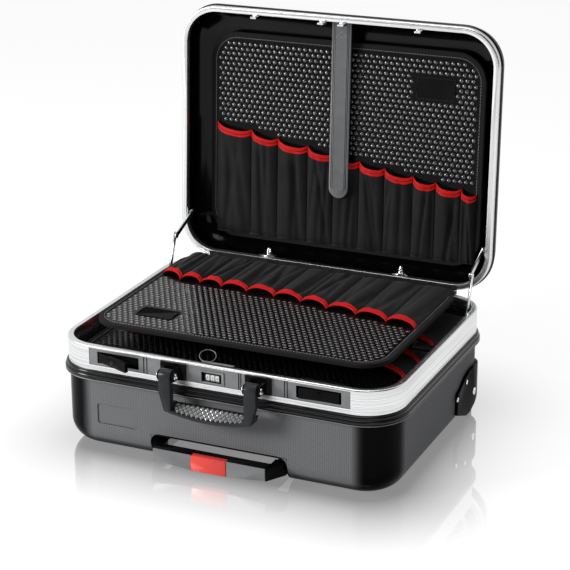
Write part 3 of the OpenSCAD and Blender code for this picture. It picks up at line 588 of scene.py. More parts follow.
def shell(node, fillet, top, cutters=(), xf=None):
    path, total = rr_path(SHELL_W, SHELL_D, SHELL_R)
    prof = shell_profile(fillet, top)
    verts, faces, uv = sweep(path, total, prof, closed=False, cap=True)
    rows = len(prof) - 1
    face_mat = [int(i % rows >= len(prof) // 2) for i in range(len(path) * rows)] + [0, 1]
    ob = make(node + "_v", verts, faces, None, BODY_OF[node], "shell", uv=uv,
              mats=["shell", "shell_inside"], face_mat=face_mat, normals=False, replaces=[node])
    recalc(ob.data, WELD)
    # The flat ends are laid out in the plane, so that the weave runs straight over them
    layer = ob.data.uv_layers[0]
    for p in ob.data.polygons:
        if len(p.vertices) > 8:
            for k in p.loop_indices:
                co = ob.data.vertices[ob.data.loops[k].vertex_index].co
                layer.data[k].uv = (co.x / MM, co.y / MM)
    if cutters:
        cut(ob, *cutters)
    set_flat(ob, fillet)
    if xf is not None:
        ob.data.transform(to_m(xf))
        ob.data.flip_normals()
    smooth(ob.data, 30)


def face_recess(x0, x1, z0, z1, r, y_face, depth):
    """Rounded cutter that goes into the front from y_face."""
    cx, cz = (x0 + x1) / 2, (z0 + z1) / 2
    pts = [(x + cx, z + cz) for x, z in round_rect(x1 - x0, z1 - z0, r)]
    n = len(pts)
    v = [(x, y, z) for y in (y_face - 3, y_face + depth) for x, z in pts]
    f = [list(range(n)), list(range(n, 2 * n))[::-1]]
    f += [(i, i + n, (i + 1) % n + n, (i + 1) % n) for i in range(n)]
    return v, f


def build_shells():
    x, y, z = WHEEL_BOX
    # The name plate's cutter gives its floor the shell, while its shallow walls take the black inside
    # material: painted shade that outlines the plate
    cutters = [face_recess(*GRIP_RECESS, -212, 101),
               box_mesh((x, y, -2), (490, 380, z)), box_mesh((-490, y, -2), (-x, 380, z)),
               (*face_recess(*NAME_PLATE, -SHELL_D / 2, 1.3), 0)]
    shell("base_shell", BASE_FILLET, BASE_WALL_H, cutters)
    # The lid's shell is the same wall turned over: its bottom is the lid's top
    over = Matrix.Translation((0, 0, LID_RIM_Z + LID_H)) @ Matrix.Scale(-1, 4, (0, 0, 1))
    shell("lid_shell", LID_FILLET, LID_H - 4.0, xf=LID @ over)


def ring(node, profile, mats, xf=None, light_rows=(), cutters=(), sharp=25.0):
    """A frame or bead that runs round the case; light_rows take the second material."""
    path, total = rr_path(CASE_W, CASE_D, CORNER_R, arc=18)
    verts, faces, uv = sweep(path, total, profile)
    face_mat = [int(i % len(profile) in light_rows) for i in range(len(faces))]
    ob = make(node + "_v", verts, faces, None, BODY_OF[node], SLOT_OF[node], uv=uv, mats=mats,
              face_mat=face_mat, replaces=[node])
    recalc(ob.data, WELD)
    if cutters:
        cut(ob, *cutters)
    if xf is not None:
        ob.data.transform(to_m(xf))
    smooth(ob.data, sharp)


def build_frames():
    # Seats of the lock panel, the lock and the two latches
    front = [box_mesh((-189, -200, 125), (189, -188.5, 149)),
             box_mesh((-22.2, -200, 126.8), (12.2, -170, 144.7)),
             box_mesh((114, -200, 128.5), (176.5, -183, 145)),
             box_mesh((-176.5, -200, 128.5), (-114, -183, 145))]
    prof = [(-8.5, 117), (-1.0, 117), (-0.2, 117.3), (0, 118), (0, 120.4), (-0.7, 120.9), (-0.7, 121.5),
            (0, 122), (0, 149.6)]
    prof += arc_pts(-2.2, 149.8, 2.2, 0, 90, 5) + arc_pts(-7.5, 151, 1.0, 90, 180, 3)
    ring("base_frame", prof, ["frame_metal", "black_plastic"], cutters=front)

    bead = [(-1.5, 104.6), (2.9, 104.6), (3.2, 104.0), (4.6, 104.0), (4.9, 104.5), (4.4, 105.2)]
    bead += arc_pts(1.3, 108.5, 3.7, -50, 70, 8)
    bead += arc_pts(-0.2, 113.6, 3.4, -40, 88, 8) + [(-1.5, 117)]
    # The rows of the bead's bottom lip take the light grey lock metal, partly a lighter lip of the case
    # and partly a painted highlight along its joint with the shell
    ring("base_rim_trim", bead, ["trim", "lock_metal"], light_rows=range(1, 5), sharp=40)

    lid_xf = LID @ Matrix.Translation((0, 0, LID_RIM_Z))
    prof = [(-8.5, 10), (-8.5, 0.9)] + arc_pts(-7.6, 0.9, 0.9, 180, 270, 3)
    prof += arc_pts(-2.2, 2.2, 2.2, 270, 360, 5) + [(0, 9.3), (-0.7, 10)]
    ring("lid_frame", prof, ["frame_metal"], xf=lid_xf)
    bead = [(-1.5, 10.1), (0.4, 10.1)] + arc_pts(-0.9, 13, 2.9, -75, 75, 8) + [(-1.5, 16)]
    ring("lid_rim_trim", bead, ["trim"], xf=lid_xf, sharp=40)


build_shells()
build_frames()

# ---- carried-over hard parts


# CAD nodes that keep their shape: material, bevel in mm and its segments. A name that ends in _ is
# a left and a right node
HARD = [
    ("lock_panel", "lock_metal", 0.25, 1), ("lock_housing", "lock_metal", 0.35, 2),
    ("latch_cases", "black_plastic", 0.5, 1), ("handle_bracket_", "gloss_black", 0.8, 2),
    ("handle_pins", "bright_metal", 0.6, 2), ("base_hinge_leaf", "hinge_metal", 0.15, 1),
    ("lid_hinge_leaf", "hinge_metal", 0.15, 1), ("hinge_pin", "hinge_metal", 0.3, 1),
    ("floor_panel", "felt", 0.6, 1), ("board_rails", "black_plastic", 0.5, 1),
    ("board_hinge_rail", "black_plastic", 0.5, 1), ("trolley_cup", "black_plastic", 0.2, 1),
    ("trolley_outer_tubes", "tube_metal", 0.5, 2), ("trolley_mid_tubes", "tube_metal", 0.5, 2),
    ("trolley_inner_tubes", "tube_metal", 0.5, 2), ("wheel_housing_", "black_plastic", 1.6, 2),
    ("wheel_axles", "bright_metal", 0.5, 2), ("stay_base_brackets", "stay_metal", 0.3, 1),
    ("stay_lid_brackets", "stay_metal", 0.3, 1), ("key_loop", "lock_metal", 0, 1),
    ("lid_strikes", "bright_metal", 0.5, 2), ("lid_standing_feet", "black_plastic", 1.5, 2),
    ("latch_lever_", "gloss_black", 0.5, 2), ("lock_button", "black_plastic", 0.4, 2),
    ("trolley_grip", "gloss_black", 1.6, 3), ("trolley_face", "face_grey", 0.35, 2),
    ("release_button", "button_red", 0.8, 3), ("stay_lower_links", "stay_metal", 0.3, 1),
    ("stay_upper_links", "stay_metal", 0.3, 1), ("turn_lock_plates", "bright_metal", 0.6, 2),
    ("carry_handle", "handle_rubber", 1.2, 3), ("turn_lock_", "bright_metal", 0.4, 2),
]


def build_hard():
    for name, mat, bevel, segments in HARD:
        for end in ("left", "right") if name.endswith("_") else ("",):
            ob = remake(name + end, mat, bevel, segments)
            smooth(ob.data, 32 if bevel else 80)


build_hard()


# Screws of the wheel housings: y, z and the radius of the head
SCREWS = [(94.5, 61.3, 3.4), (56.7, 49.6, 3.4), (128.4, 34.6, 5.4)]
HOUSING_X = 248


def build_screws():
    b = Build()
    sides = 24
    rows = [(0.0, 3.4), (1.0, 3.3), (1.3, 2.9), (1.35, 1.6), (0.7, 1.3), (0.7, 0.0)]
    for s in (1, -1):
        for y, z, head in SCREWS:
            size = head / rows[0][1]
            v = []
            for out, r in rows:
                for i in range(sides):
                    a = 2 * pi * i / sides
                    # The inner rows make a four-lobed driver socket
                    q = r * size * (0.62 + 0.38 * abs(cos(2 * a)) if 0.1 < r < 1.7 else 1.0)
                    v.append((s * (HOUSING_X + out), y + q * cos(a), z + q * sin(a)))
            b.add(v, strips(len(rows) - 1, sides))
    b.stand_for("housing_screws", "bright_metal")


def mirrored(half, width):
    """A section (x, radius) from one half of it."""
    return half + [(width - x, r) for x, r in reversed(half)]


def lathe(profile, centre, sides, wave=None):
    """Turns (along X, radius) points about the X axis through a place."""
    v = []
    for k in range(sides):
        a = 2 * pi * k / sides
        for x, r in profile:
            q = wave(k, r) if wave else r
            v.append((centre[0] + x, centre[1] + q * cos(a), centre[2] + q * sin(a)))
    return v, strips(sides, len(profile), around=True)


WHEEL_W, WHEEL_Y, WHEEL_Z = 21.0, 176.0, 33.0
WHEEL_X = (("left", -221.5), ("right", 200.5))


def build_wheels():
    tread = mirrored([(0.2, 19.2), (0.2, 26.0), (1.4, 28.6), (3.4, 29.8), (6.6, 30.0), (7.2, 29.0),
                      (8.6, 29.0), (9.2, 30.0)], WHEEL_W)
    hub = mirrored([(1.2, 4.3), (1.2, 7.5), (3.4, 8.4), (3.4, 15.2), (1.0, 16.4), (0.4, 18.6)], WHEEL_W)
    for side, x0 in WHEEL_X:
        centre = (x0, WHEEL_Y, WHEEL_Z)
        b = Build()
        b.add(*lathe(tread, centre, 96))
        b.stand_for(f"wheel_tyre_{side}", "tyre_rubber")
        b = Build()
        b.add(*lathe(hub, centre, 72))
        for k in range(6):
            a = radians(60 * k)
            for face in (2.4, 18.6):
                p = [(x0 + face, WHEEL_Y + r * cos(a), WHEEL_Z + r * sin(a)) for r in (7.6, 15.8)]
                b.tube(p, 1.7, 8, 0.8, up=(1, 0, 0))
        b.stand_for(f"wheel_hub_{side}", "hub_plastic")


DIAL_X, DIAL_Y, DIAL_Z, DIAL_R, DIAL_HALF = (-11.5, -4.5, 2.5), -184.2, 135.7, 7.3, 2.7
DIGIT_SIZE, INK_R = 4.6, DIAL_R + 0.06


def build_dials():
    def notched(k, q):
        return q - (0.35 if k % 4 == 0 and q > 6 else 0.0)

    prof = mirrored([(-DIAL_HALF, 2.0), (-DIAL_HALF, DIAL_R - 0.5), (-DIAL_HALF + 0.4, DIAL_R)], 0.0)
    for i, x in enumerate(DIAL_X):
        node = f"dial_{i + 1}"
        b = Build()
        b.add(*lathe(prof, (x, DIAL_Y, DIAL_Z), 80, notched))
        b.stand_for(node, "dial_plastic", sharp=40)
        digits = Build()
        for k in range(10):
            cu = bpy.data.curves.new("digit", "FONT")
            cu.body = str((k + 2 * i) % 10)
            cu.size = DIGIT_SIZE
            cu.align_x, cu.align_y = "CENTER", "CENTER"
            tmp = bpy.data.objects.new("digit", cu)
            me = bpy.data.meshes.new_from_object(tmp)
            pts = []
            for p in me.vertices:
                t = radians(180 + 36 * k) - p.co.y / DIAL_R
                pts.append((x + p.co.x, DIAL_Y + INK_R * cos(t), DIAL_Z + INK_R * sin(t)))
            digits.add(pts, [list(q.vertices) for q in me.polygons])
            bpy.data.objects.remove(tmp)
        digits.done(node + "_digits", "ink", node, SLOT_OF[node], normals=False)


GRIP_LOW, GRIP_BOW, FOOT_W, GRIP_HALF = 82.5, 8.0, 62.9, 52.7
SLOPE_LOW_Y, SLOPE_TOP = -217.0, (-204.6, 97.6)
DIAMOND_PITCH, DIAMOND_ROWS, DIAMOND_HALF, DIAMOND_H, DIAMOND_TOP = 7.0, 4, 3.3, 1.1, 0.35


def build_grip():
    """Sloping insert of the carry handle with its raised diamonds."""
    def lip(x):
        return GRIP_LOW + 4.2 + GRIP_BOW * (x / FOOT_W) ** 2

    steps = 24
    rows = []
    for x in (-GRIP_HALF + 2 * GRIP_HALF * k / steps for k in range(steps + 1)):
        rows += [(x, -217.4, lip(x)), (x, SLOPE_LOW_Y, lip(x) + 0.8), (x, *SLOPE_TOP), (x, -203.2, 98.2),
                 (x, -200.2, 98.2), (x, -199.2, 97.2), (x, -199.2, lip(x))]
    m = len(rows) // (steps + 1)
    b = Build()
    b.add(rows, strips(steps, m, turned=True) + end_faces(steps + 1, m))
    b.stand_for("handle_grip", "grip_rubber")

    def slope(x, t, h):
        """Place on the slope: t from its low to its top edge, h over it."""
        y0, z0, y1, z1 = SLOPE_LOW_Y, lip(x) + 0.8, *SLOPE_TOP
        ln = hypot(y1 - y0, z1 - z0)
        return (x, y0 + (y1 - y0) * t - h * (z1 - z0) / ln, z0 + (z1 - z0) * t + h * (y1 - y0) / ln)

    b = Build()
    for r in range(DIAMOND_ROWS):
        x = -GRIP_HALF + DIAMOND_PITCH * (0.75 if r % 2 else 1.25)
        t = (r + 0.5) / DIAMOND_ROWS
        while x < GRIP_HALF - DIAMOND_PITCH * 0.6:
            v = []
            for k, h in ((1.0, 0), (DIAMOND_TOP, DIAMOND_H)):
                a, c = DIAMOND_HALF * k, 0.92 / DIAMOND_ROWS * k
                v += [slope(x - a, t, h), slope(x, t - c, h), slope(x + a, t, h), slope(x, t + c, h)]
            b.add(v, [(4, 5, 6, 7), (0, 1, 5, 4), (1, 2, 6, 5), (2, 3, 7, 6), (3, 0, 4, 7)])
            x += DIAMOND_PITCH
    b.done("handle_grip_diamonds", "knurl", "carry_handle", SLOT_OF["handle_grip"])


PANEL_JOINTS, JOINT_HALF = (-106.2, 32.9, 97.9), 0.45
# Bars of the black frame round the window of the number wheels: x and z ranges
DIAL_FRAME = ((-17.4, 8.4, 140.3, 142.0), (-17.4, 8.4, 129.4, 131.1), (-17.4, -14.7, 131.1, 140.3),
              (5.7, 8.4, 131.1, 140.3))


def build_panel_joints():
    """Dark gaps between the plates of the lock panel, and the number wheels' black frame."""
    b = Build()
    for x in PANEL_JOINTS:
        b.add(*box_mesh((x - JOINT_HALF, -190.45, 125.4), (x + JOINT_HALF, -188.6, 148.6)))
    b.done("panel_joints", "groove", "base", SLOT_OF["lock_panel"])
    b = Build()
    for x0, x1, z0, z1 in DIAL_FRAME:
        b.add(*box_mesh((x0, -191.45, z0), (x1, -191.15, z1)))
    b.done("dial_surround", "black_plastic", "base", SLOT_OF["lock_housing"])


build_screws()
build_wheels()
build_dials()
build_grip()
build_panel_joints()

# ---- tool boards


def dome_field(name, spots, radius, height, place, mat, body, sides=10):
    """Shallow domes with their middles at (x, v) on a board; place gives (x, v, height) in mm."""
    rings = [(1.0, -0.2), (0.93, 0.22), (0.76, 0.62), (0.45, 0.9)]
    v, f = [], []
    for cx, cy in spots:
        k0 = len(v)
        for rr, hh in rings:
            for k in range(sides):
                a = 2 * pi * k / sides
                x, y = cx + radius * rr * cos(a), cy + radius * rr * sin(a)
                v.append(place(x, y, height * hh))
        v.append(place(cx, cy, height))
        f += strips(len(rings) - 1, sides, first=k0)
        top = k0 + len(rings) * sides
        f += [(top - sides + k, top - sides + (k + 1) % sides, top) for k in range(sides)]
    make(name, v, f, mat, body, "board", sharp=60)


def lattice(x0, x1, v0, v1, inside, pitch=8.78, row=7.75):
    """Places in staggered rows, where inside says so."""
    spots = []
    n, v = 0, v0
    while v < v1:
        x = x0 + (pitch / 2 if n % 2 else 0)
        while x < x1:
            if inside(x, v):
                spots.append((x, v))
            x += pitch
        v += row
        n += 1
    return spots


def in_rounded(x, y, w, d, r):
    ax, ay = abs(x), abs(y)
    if ax > w / 2 or ay > d / 2:
        return False
    dx, dy = ax - (w / 2 - r), ay - (d / 2 - r)
    return not (dx > 0 and dy > 0 and hypot(dx, dy) > r)


EDGE_W, BOARD_T = 9.0, 5.0
STITCH_STEP, STITCH_LEN = 4.6, 2.9


def border(name, w, d, middle, place, body):
    """Felt edging folded over the board's rim, with its line of stitches."""
    path, total = rr_path(w, d, BOARD_R, arc=16)
    prof = [(-EDGE_W, -0.2), (-EDGE_W, 0.5), (-EDGE_W + 0.5, 0.75), (-0.8, 0.75)]
    prof += arc_pts(-0.4, -0.3, 0.95, 80, 0, 3)
    prof += [(0.55, -BOARD_T + 0.3), (0.2, -BOARD_T - 0.4), (-EDGE_W, -BOARD_T - 0.4),
             (-EDGE_W, -BOARD_T + 0.1)]
    verts, faces, uv = sweep(path, total, prof)
    make(name, [place(x, y + middle, z) for x, y, z in verts], faces, "felt", body, "board", uv=uv,
         sharp=50)
    stitches = Build()
    run_at, k = 1.0, 0
    pts = path + [path[0]]
    runs = [p[4] for p in path] + [total]
    inset = EDGE_W - 2.0
    while run_at + 3.0 < total:
        ends = []
        for s in (run_at, run_at + STITCH_LEN):
            while runs[k + 1] < s:
                k += 1
            q = (s - runs[k]) / max(runs[k + 1] - runs[k], 1e-6)
            x, y, nx, ny = (a + (b - a) * q for a, b in zip(pts[k][:4], pts[k + 1][:4]))
            ends.append(place(x - nx * inset, y - ny * inset + middle, 0.9))
        stitches.tube(ends, 0.35, 5)
        run_at += STITCH_STEP
    stitches.done(name + "_stitches", "thread", body, "board", normals=False)


def between_seams(seams, x):
    """Straight line through the pockets' seams at x."""
    for (x0, v0), (x1, v1) in zip(seams, seams[1:]):
        if x <= x1:
            return v0 + (v1 - v0) * (x - x0) / (x1 - x0)
    return seams[-1][1]


class Pocket:
    """Height of one sewn pocket over its board: u across it, t from its mouth to its closed end."""

    def __init__(self, seed, height, depth):
        rnd = random.Random(seed)
        self.height, self.depth = height, depth
        self.skew = rnd.uniform(0.72, 0.95)
        self.creases = [(rnd.uniform(0.12, 0.9), rnd.uniform(-0.5, 0.5), rnd.uniform(0.05, 0.12),
                         rnd.uniform(0.16, 0.42)) for _ in range(4)]

    def at(self, u, t):
        arch = sin(pi * u ** self.skew) ** 0.62 if 0 < u < 1 else 0.0
        lip = 0.76 + 0.24 * min(t * self.depth / 9.0, 1.0)
        h = 0.8 + (self.height - 0.8) * arch * lip * (1.0 - 0.45 * t ** 1.3)
        start = min(t / 0.2, 1.0)
        for u0, lean, width, deep in self.creases:
            d = (u - u0 - lean * t) / width
            h *= 1.0 - deep * start * exp(-d * d)
        if t > 0.94:
            h *= 1.0 - 0.92 * ((t - 0.94) / 0.06) ** 2
        return max(h, 0.35)


# Section of the binding: along the cloth from the mouth, and over it
BINDING = [(-0.7, -0.4), (-0.7, 0.5), (-0.2, 1.0), (3.6, 1.05), (4.1, 0.35), (4.7, 0.35), (5.2, 1.05),
           (6.6, 1.0), (7.1, 1.35), (8.0, 1.3), (8.4, 0.7), (8.4, 0.0), (4.0, -0.9), (-0.2, -0.9)]
CLOTH_T = 0.7


def pocket_row(name, which, seams, end, height, place, seed, sag, first=True):
    """A sewn strip of cloth, drawn back between its seams, with a red binding along its mouths."""
    node = which + "_tool_pockets"
    body, slot = BODY_OF[node], SLOT_OF[node]
    nu, nv = 26, 36
    sgn = 1.0 if end > seams[0][1] else -1.0
    cols = []
    for k, ((x0, v0), (x1, v1)) in enumerate(zip(seams, seams[1:])):
        pocket = Pocket(seed * 100 + k, height, abs(end - (v0 + v1) / 2))
        for i in range(nu + (k == len(seams) - 2)):
            u = 0.5 - 0.5 * cos(pi * i / nu)
            v = v0 + (v1 - v0) * u + sgn * sag * (1.0 - abs(2 * u - 1) ** 3.2)
            cols.append((x0 + (x1 - x0) * u, v, u, pocket))
    verts, uv = [], []
    arc = 0.0
    for i, (x, v, u, pocket) in enumerate(cols):
        along = [(j / nv) ** 1.25 for j in range(nv + 1)]
        rows = [(x, v + (end - v) * t, pocket.at(u, t)) for t in along]
        if i:
            before = verts[-(nv + 1) + 4]
            arc += hypot(rows[4][0] - before[0], rows[4][2] - before[2])
        verts += rows
        uv += [(arc, r[1]) for r in rows]
    faces = strips(len(cols) - 1, nv + 1, nv)
    for quad in faces:
        p, q, r, s = (Vector(verts[n]) for n in quad)
    ob = make(name, [place(*v) for v in verts], faces, "pocket_fabric", body, slot, uv=uv, sharp=180,
              normals=False, replaces=[node] if first else ())
    mod = ob.modifiers.new("thick", "SOLIDIFY")
    mod.thickness = CLOTH_T * MM
    mod.offset = 0.0

    m = len(BINDING)
    v, tex = [], []
    run = 0.0
    for i, (x, y, u, pocket) in enumerate(cols):
        if i:
            run += hypot(x - cols[i - 1][0], y - cols[i - 1][1])
        for o, h in BINDING:
            t = max(o, 0.0) / abs(end - y)
            v.append(place(x, y + sgn * o, max(pocket.at(u, t) + h, 0.1)))
            tex.append((run, o))
    edge = Build()
    edge.add(v, strips(len(cols) - 1, m, turned=True) + end_faces(len(cols), m), tex)
    bind = edge.done(name + "_binding", "binding", body, slot, sharp=50)


def label_patch(name, x0, y0, w, d, place, body):
    """Bare woven label with a sewn rim."""
    v, f = prism(round_rect(w, d, 2.0), 0.1, 0.8)
    make(name, [place(x + x0, y + y0, z) for x, y, z in v], f, "patch", body, "board")
    path, total = rr_path(w - 1.2, d - 1.2, 2.4, arc=5)
    v, f, uv = sweep(path, total, [(-0.6, 0.7), (-0.6, 1.15), (0.6, 1.15), (0.6, 0.7)])
    make(name + "_rim", [place(x + x0, y + y0, z) for x, y, z in v], f, "felt", body, "board", uv=uv)


BOARD_W, BOARD_R = 428.0, 42.0
# Upper faces of the boards: z in the base, and the depth from the lid's rim
UPPER_Z, LOWER_Z, LID_N = 168.0, 130.0, 41.0
# Seams between the pockets: place across the board and place of the mouth there
UPPER_SEAMS = [(-207, 60), (-172, 46), (-140, 46), (-104, 41), (-63, 39), (-19, 36), (24, 30), (67, 20),
               (113, 15), (161, 6), (205, -2)]
LID_SEAMS = [(-204, 200), (-147, 192), (-104, 183), (-55, 177), (-14, 170), (27, 163), (67, 157),
             (111, 150), (146, 145), (185, 140), (208, 135)]
LOWER_SEAM_X = (-206, -165, -113, -61, -2, 50, 100)


# Rows of the lower board's pockets: shift of the mouths, the last mouth and the closed end
LOWER_ROWS = ((0.0, -84.0, -9.0), (61.0, -28.0, 50.0), (117.0, 29.0, 160.0))


def board(which, w, d, middle, place, field, dome, free, label=None):
    """A tool board with its edging, its domes where free says so, and its label (x, y, w, d, gap)."""
    node = which + "_tool_board"
    body = BODY_OF[node]
    remake(node, "board")
    border(which + "_board_edge", w, d, middle, place, body)

    def clear(x, y):
        if label and all(abs(c - label[k]) < label[k + 2] / 2 + label[4] for k, c in enumerate((x, y))):
            return False
        return in_rounded(x, y - middle, w - 24, d - 24, BOARD_R - 12) and free(x, y)

    radius, height, mat = dome
    dome_field(which + "_board_domes", lattice(*field, clear), radius, height, place, mat, body)
    if label:
        label_patch(which + "_board_label", *label[:4], place, body)


def build_boards():
    def up(x, y, h):
        return (x, y, UPPER_Z + h)

    def low(x, y, h):
        return (x, y, LOWER_Z + h)

    def lid(x, s, h):
        return tuple(LID @ Vector(shut(x, s, LID_N - h)))

    board("upper", BOARD_W, 311.0, 9.5, up, (-205, 205, -136, 70), (3.2, 0.9, "dome"),
          lambda x, y: y < between_seams(UPPER_SEAMS, x) - 5, (-139.0, -84.5, 55, 31, 3.5))
    pocket_row("upper_pockets", "upper", UPPER_SEAMS, 161.0, 8.9, up, 3, 8.0)

    # The lower board's domes take the near-black board material instead of the dome one: painted shade,
    # since this board lies deep inside the case
    board("lower", 452.0, 332.0, 0, low, (-216, 216, -158, -60), (3.2, 1.2, "board"), lambda x, y: y < -76)
    for k, (shift, last, end) in enumerate(LOWER_ROWS):
        seams = [(x, -66.0 + shift) for x in LOWER_SEAM_X] + [(159.0, -73.0 + shift), (220.0, last)]
        pocket_row(f"lower_pockets_{k + 1}", "lower", seams, end, 11.5, low, 5 + 10 * k, 7.0, k == 0)

    # The lid's board faces the front with the lid open
    board("lid", BOARD_W, 312.0, 180.0, lid, (-200, 204, 110.65, 335), (3.6, 2.0, "dome"),
          lambda x, s: s > between_seams(LID_SEAMS, x) + 5, (140.0, 281.0, 58, 32, 4))
    pocket_row("lid_pockets", "lid", LID_SEAMS, 29.0, 12.0, lid, 9, 6.0)


build_boards()


def box_between(place, a, b, low, high):
    """Flat bar on the strap from corner a to corner b."""
    v, f = box_mesh((*a, low), (*b, high))
    return [place(*p) for p in v], f


STRAP_W, STRAP_LOW, STRAP_TOP, STRAP_X, STRAP_N, STRAP_T = 30.0, 107.0, 374.0, -1.0, 28.5, 2.5
LAYER_W, LAYER_LOW, LAYER_T = 18.0, STRAP_LOW + 13.0, 2.9
SEAM_LOW, SEAM_TOP = STRAP_LOW + 15, STRAP_TOP - 3
CROSS = (((-8, 362), (8, 362)), ((-8, 346), (8, 346)), ((-8, 362), (8, 346)), ((8, 362), (-8, 346)),
         ((-8, LAYER_LOW + 1.4), (8, LAYER_LOW + 1.4)))


def build_strap():
    """Leather strap with a rounded end, two rows of stitches and a cross at its sewn end."""
    slot = SLOT_OF["retaining_strap"]
    half = STRAP_W / 2

    def place(x, s, h):
        return tuple(LID @ Vector(shut(STRAP_X + x, s, STRAP_N - h)))

    outline = [(half, STRAP_TOP), (-half, STRAP_TOP)] + arc_pts(0, STRAP_LOW + half, -half, 0, 180, 18)
    v, f = prism(outline, 0.0, STRAP_T)
    ob = make("strap_leather_v", [place(*p) for p in v], f, "strap_leather", "strap", slot,
              replaces=["retaining_strap"])
    bevel_edges(ob, 0.7)
    smooth(ob.data, 40)
    st = Build()

    def line(a, b, step=3.6, ln=2.4, up=2.62):
        d = hypot(b[0] - a[0], b[1] - a[1])
        for k in range(int(d / step)):
            ends = (k * step / d, min((k * step + ln) / d, 1.0))
            p = [place(a[0] + (b[0] - a[0]) * q, a[1] + (b[1] - a[1]) * q, up) for q in ends]
            st.tube(p, 0.33, 5)

    # A narrower second layer is sewn on top, square at its lower end
    x = LAYER_W / 2
    v, f = prism([(-x, LAYER_LOW), (x, LAYER_LOW), (x, SEAM_TOP), (-x, SEAM_TOP)], STRAP_T, LAYER_T)
    top = make("strap_layer", [place(*p) for p in v], f, "strap_leather", "strap", slot)
    bevel_edges(top, 0.15)
    for edge in (13.0, 10.3):
        for side in (-1, 1):
            line((side * edge, SEAM_LOW), (side * edge, SEAM_TOP))
        for a in range(0, 180, 15):
            line(*arc_pts(0, SEAM_LOW, -edge, a, a + 15, 1), 3.2, 2.3)
    for a, b in CROSS:
        line(a, b, ln=2.6, up=2.95)
    st.done("strap_stitches", "thread", "strap", slot, normals=False)
    seam = Build()
    for edge, wide, low in ((11.6, 0.5, SEAM_LOW), (LAYER_W / 2 + 0.4, 0.4, LAYER_LOW)):
        for a in (-edge, edge):
            seam.add(*box_between(place, (a - wide, low), (a + wide, SEAM_TOP), 2.4, 2.56))
    seam.done("strap_seams", "groove", "strap", slot)


build_strap()

# ---- floor and light


WORLD_GREY = (0.27, 0.27, 0.274)
DARK_SIDE = (0.45, -0.87, 0.1)
# How white the room is: from this cosine to DARK_SIDE, to this one, then the levels at both
ROOM = (("From Min", -0.25), ("From Max", 0.45), ("To Min", 1.0), ("To Max", 0.04))
FLOOR_HALF, FLOOR_LOW, FLOOR_Z = 6000, -20, -0.6
FLOOR_WHITE, WHITE_SHARE = 1.25, 0.7
# Mirror image in the floor: most of it at the case, how far it reaches in m, how fast it fades
MIRROR_MOST, MIRROR_REACH, MIRROR_FADE = 0.72, 0.17, 1.5
# Place and aim in m, size in m and power in W
LAMPS = [("key", (-2.0, -1.8, 1.1), (0, 0, 0.2), (0.9, 0.9), 74),
         ("top", (-0.2, -0.1, 2.3), (0, 0, 0.1), (1.6, 1.2), 19),
         ("fill", (1.6, -2.0, 0.8), (0, 0, 0.2), (0.9, 1.0), 3)]


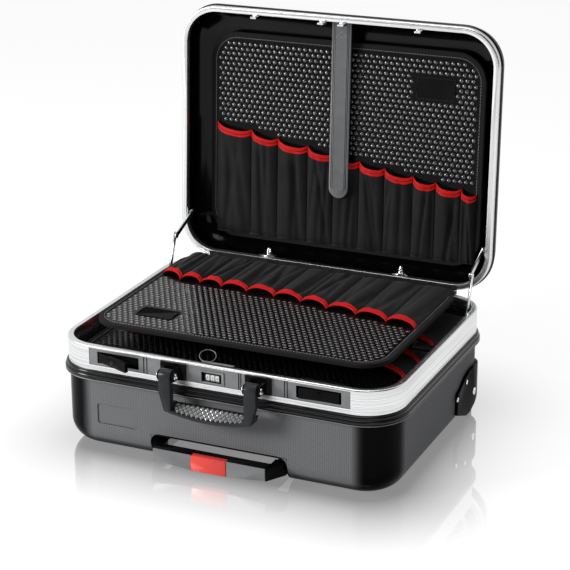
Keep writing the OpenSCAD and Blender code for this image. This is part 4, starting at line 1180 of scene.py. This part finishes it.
def build_floor():
    me = bpy.data.meshes.new("floor")
    v, f = box_mesh((-FLOOR_HALF, -FLOOR_HALF, FLOOR_LOW), (FLOOR_HALF, FLOOR_HALF, FLOOR_Z))
    me.from_pydata([Vector(p) * MM for p in v], [], f)
    floor = new_object("floor", me)
    n = Nodes("floor", (0.7, 0.7, 0.7), 0.6, spec=0.0)
    n.vary((0.69, 0.69, 0.69), (0.71, 0.71, 0.71), n.noise(3, 2))
    # Rays that see the floor as a background get plain white and, near the case, its mirror image
    path = n.node("LightPath")
    seen = n.math("ADD", path.outputs["Is Camera Ray"], path.outputs["Is Glossy Ray"], clamp=True)
    seen = n.math("ADD", seen, path.outputs["Is Transmission Ray"], clamp=True)
    xyz = n.node("SeparateXYZ")
    n.link(n.node("NewGeometry").outputs["Position"], xyz.inputs[0])
    sides = []
    for axis, half in ((0, CASE_W / 2), (1, CASE_D / 2)):
        over = n.math("SUBTRACT", n.math("ABSOLUTE", xyz.outputs[axis]), (half - CORNER_R) * MM)
        sides.append(n.math("POWER", n.math("MAXIMUM", over, 0.0), 2.0))
    away = n.math("SUBTRACT", n.math("SQRT", n.math("ADD", *sides)), CORNER_R * MM)
    near = n.math("POWER", n.ramp(away, 0.0, MIRROR_REACH, 1.0, 0.0), MIRROR_FADE)
    white = n.node("Emission", Strength=FLOOR_WHITE)
    mirror = n.node("BsdfGlossy", Roughness=0.03)
    plain, mixed, final = (n.node("MixShader") for _ in range(3))
    plain.inputs[0].default_value = WHITE_SHARE
    for a, b in ((n.out.outputs[0], plain.inputs[1]), (white.outputs[0], plain.inputs[2]),
                 (n.math("MULTIPLY", near, MIRROR_MOST), mixed.inputs[0]),
                 (plain.outputs[0], mixed.inputs[1]), (mirror.outputs[0], mixed.inputs[2]),
                 (seen, final.inputs[0]), (n.out.outputs[0], final.inputs[1]),
                 (mixed.outputs[0], final.inputs[2]),
                 (final.outputs[0], n.t.nodes["Material Output"].inputs["Surface"])):
        n.link(a, b)
    me.materials.append(n.mat)


def build_world():
    world = bpy.data.worlds.new("studio")
    bpy.context.scene.world = world
    world.use_nodes = True
    t = world.node_tree
    kinds = ("LightPath", "Background", "Background", "VectorMath", "TexCoord", "MapRange", "Math",
             "MixShader", "MixShader")
    made = (t.nodes.new("ShaderNode" + k) for k in kinds)
    ray, white, room, dot, where, level, either, lit, final = made
    soft = t.nodes["Background"]
    soft.inputs["Color"].default_value = (*WORLD_GREY, 1)
    # The backdrop is white to the camera and in reflections, apart from a dark side of the room
    # to the front right, which metal edges show
    white.inputs["Color"].default_value = (1, 1, 1, 1)
    dot.operation = "DOT_PRODUCT"
    dot.inputs[1].default_value = Vector(DARK_SIDE).normalized()
    level.interpolation_type = "SMOOTHSTEP"
    for key, value in ROOM:
        level.inputs[key].default_value = value
    either.operation, either.use_clamp = "ADD", True
    for a, b in ((where.outputs["Generated"], dot.inputs[0]),
                 (dot.outputs["Value"], level.inputs["Value"]),
                 (level.outputs["Result"], room.inputs["Strength"]),
                 (ray.outputs["Is Glossy Ray"], either.inputs[0]),
                 (ray.outputs["Is Transmission Ray"], either.inputs[1]),
                 (either.outputs[0], lit.inputs[0]), (soft.outputs[0], lit.inputs[1]),
                 (room.outputs[0], lit.inputs[2]), (ray.outputs["Is Camera Ray"], final.inputs[0]),
                 (lit.outputs[0], final.inputs[1]), (white.outputs[0], final.inputs[2]),
                 (final.outputs[0], t.nodes["World Output"].inputs["Surface"])):
        t.links.new(a, b)


def build_stage():
    bpy.context.scene.view_settings.view_transform = "Standard"
    build_floor()
    build_world()
    for name, place, aim, size, power in LAMPS:
        light = bpy.data.lights.new(name, "AREA")
        light.shape = "RECTANGLE"
        light.size, light.size_y = size
        light.energy = power
        ob = new_object(name, light)
        ob.location = place
        ob.rotation_euler = (Vector(aim) - Vector(place)).to_track_quat("-Z", "Y").to_euler()


build_stage()
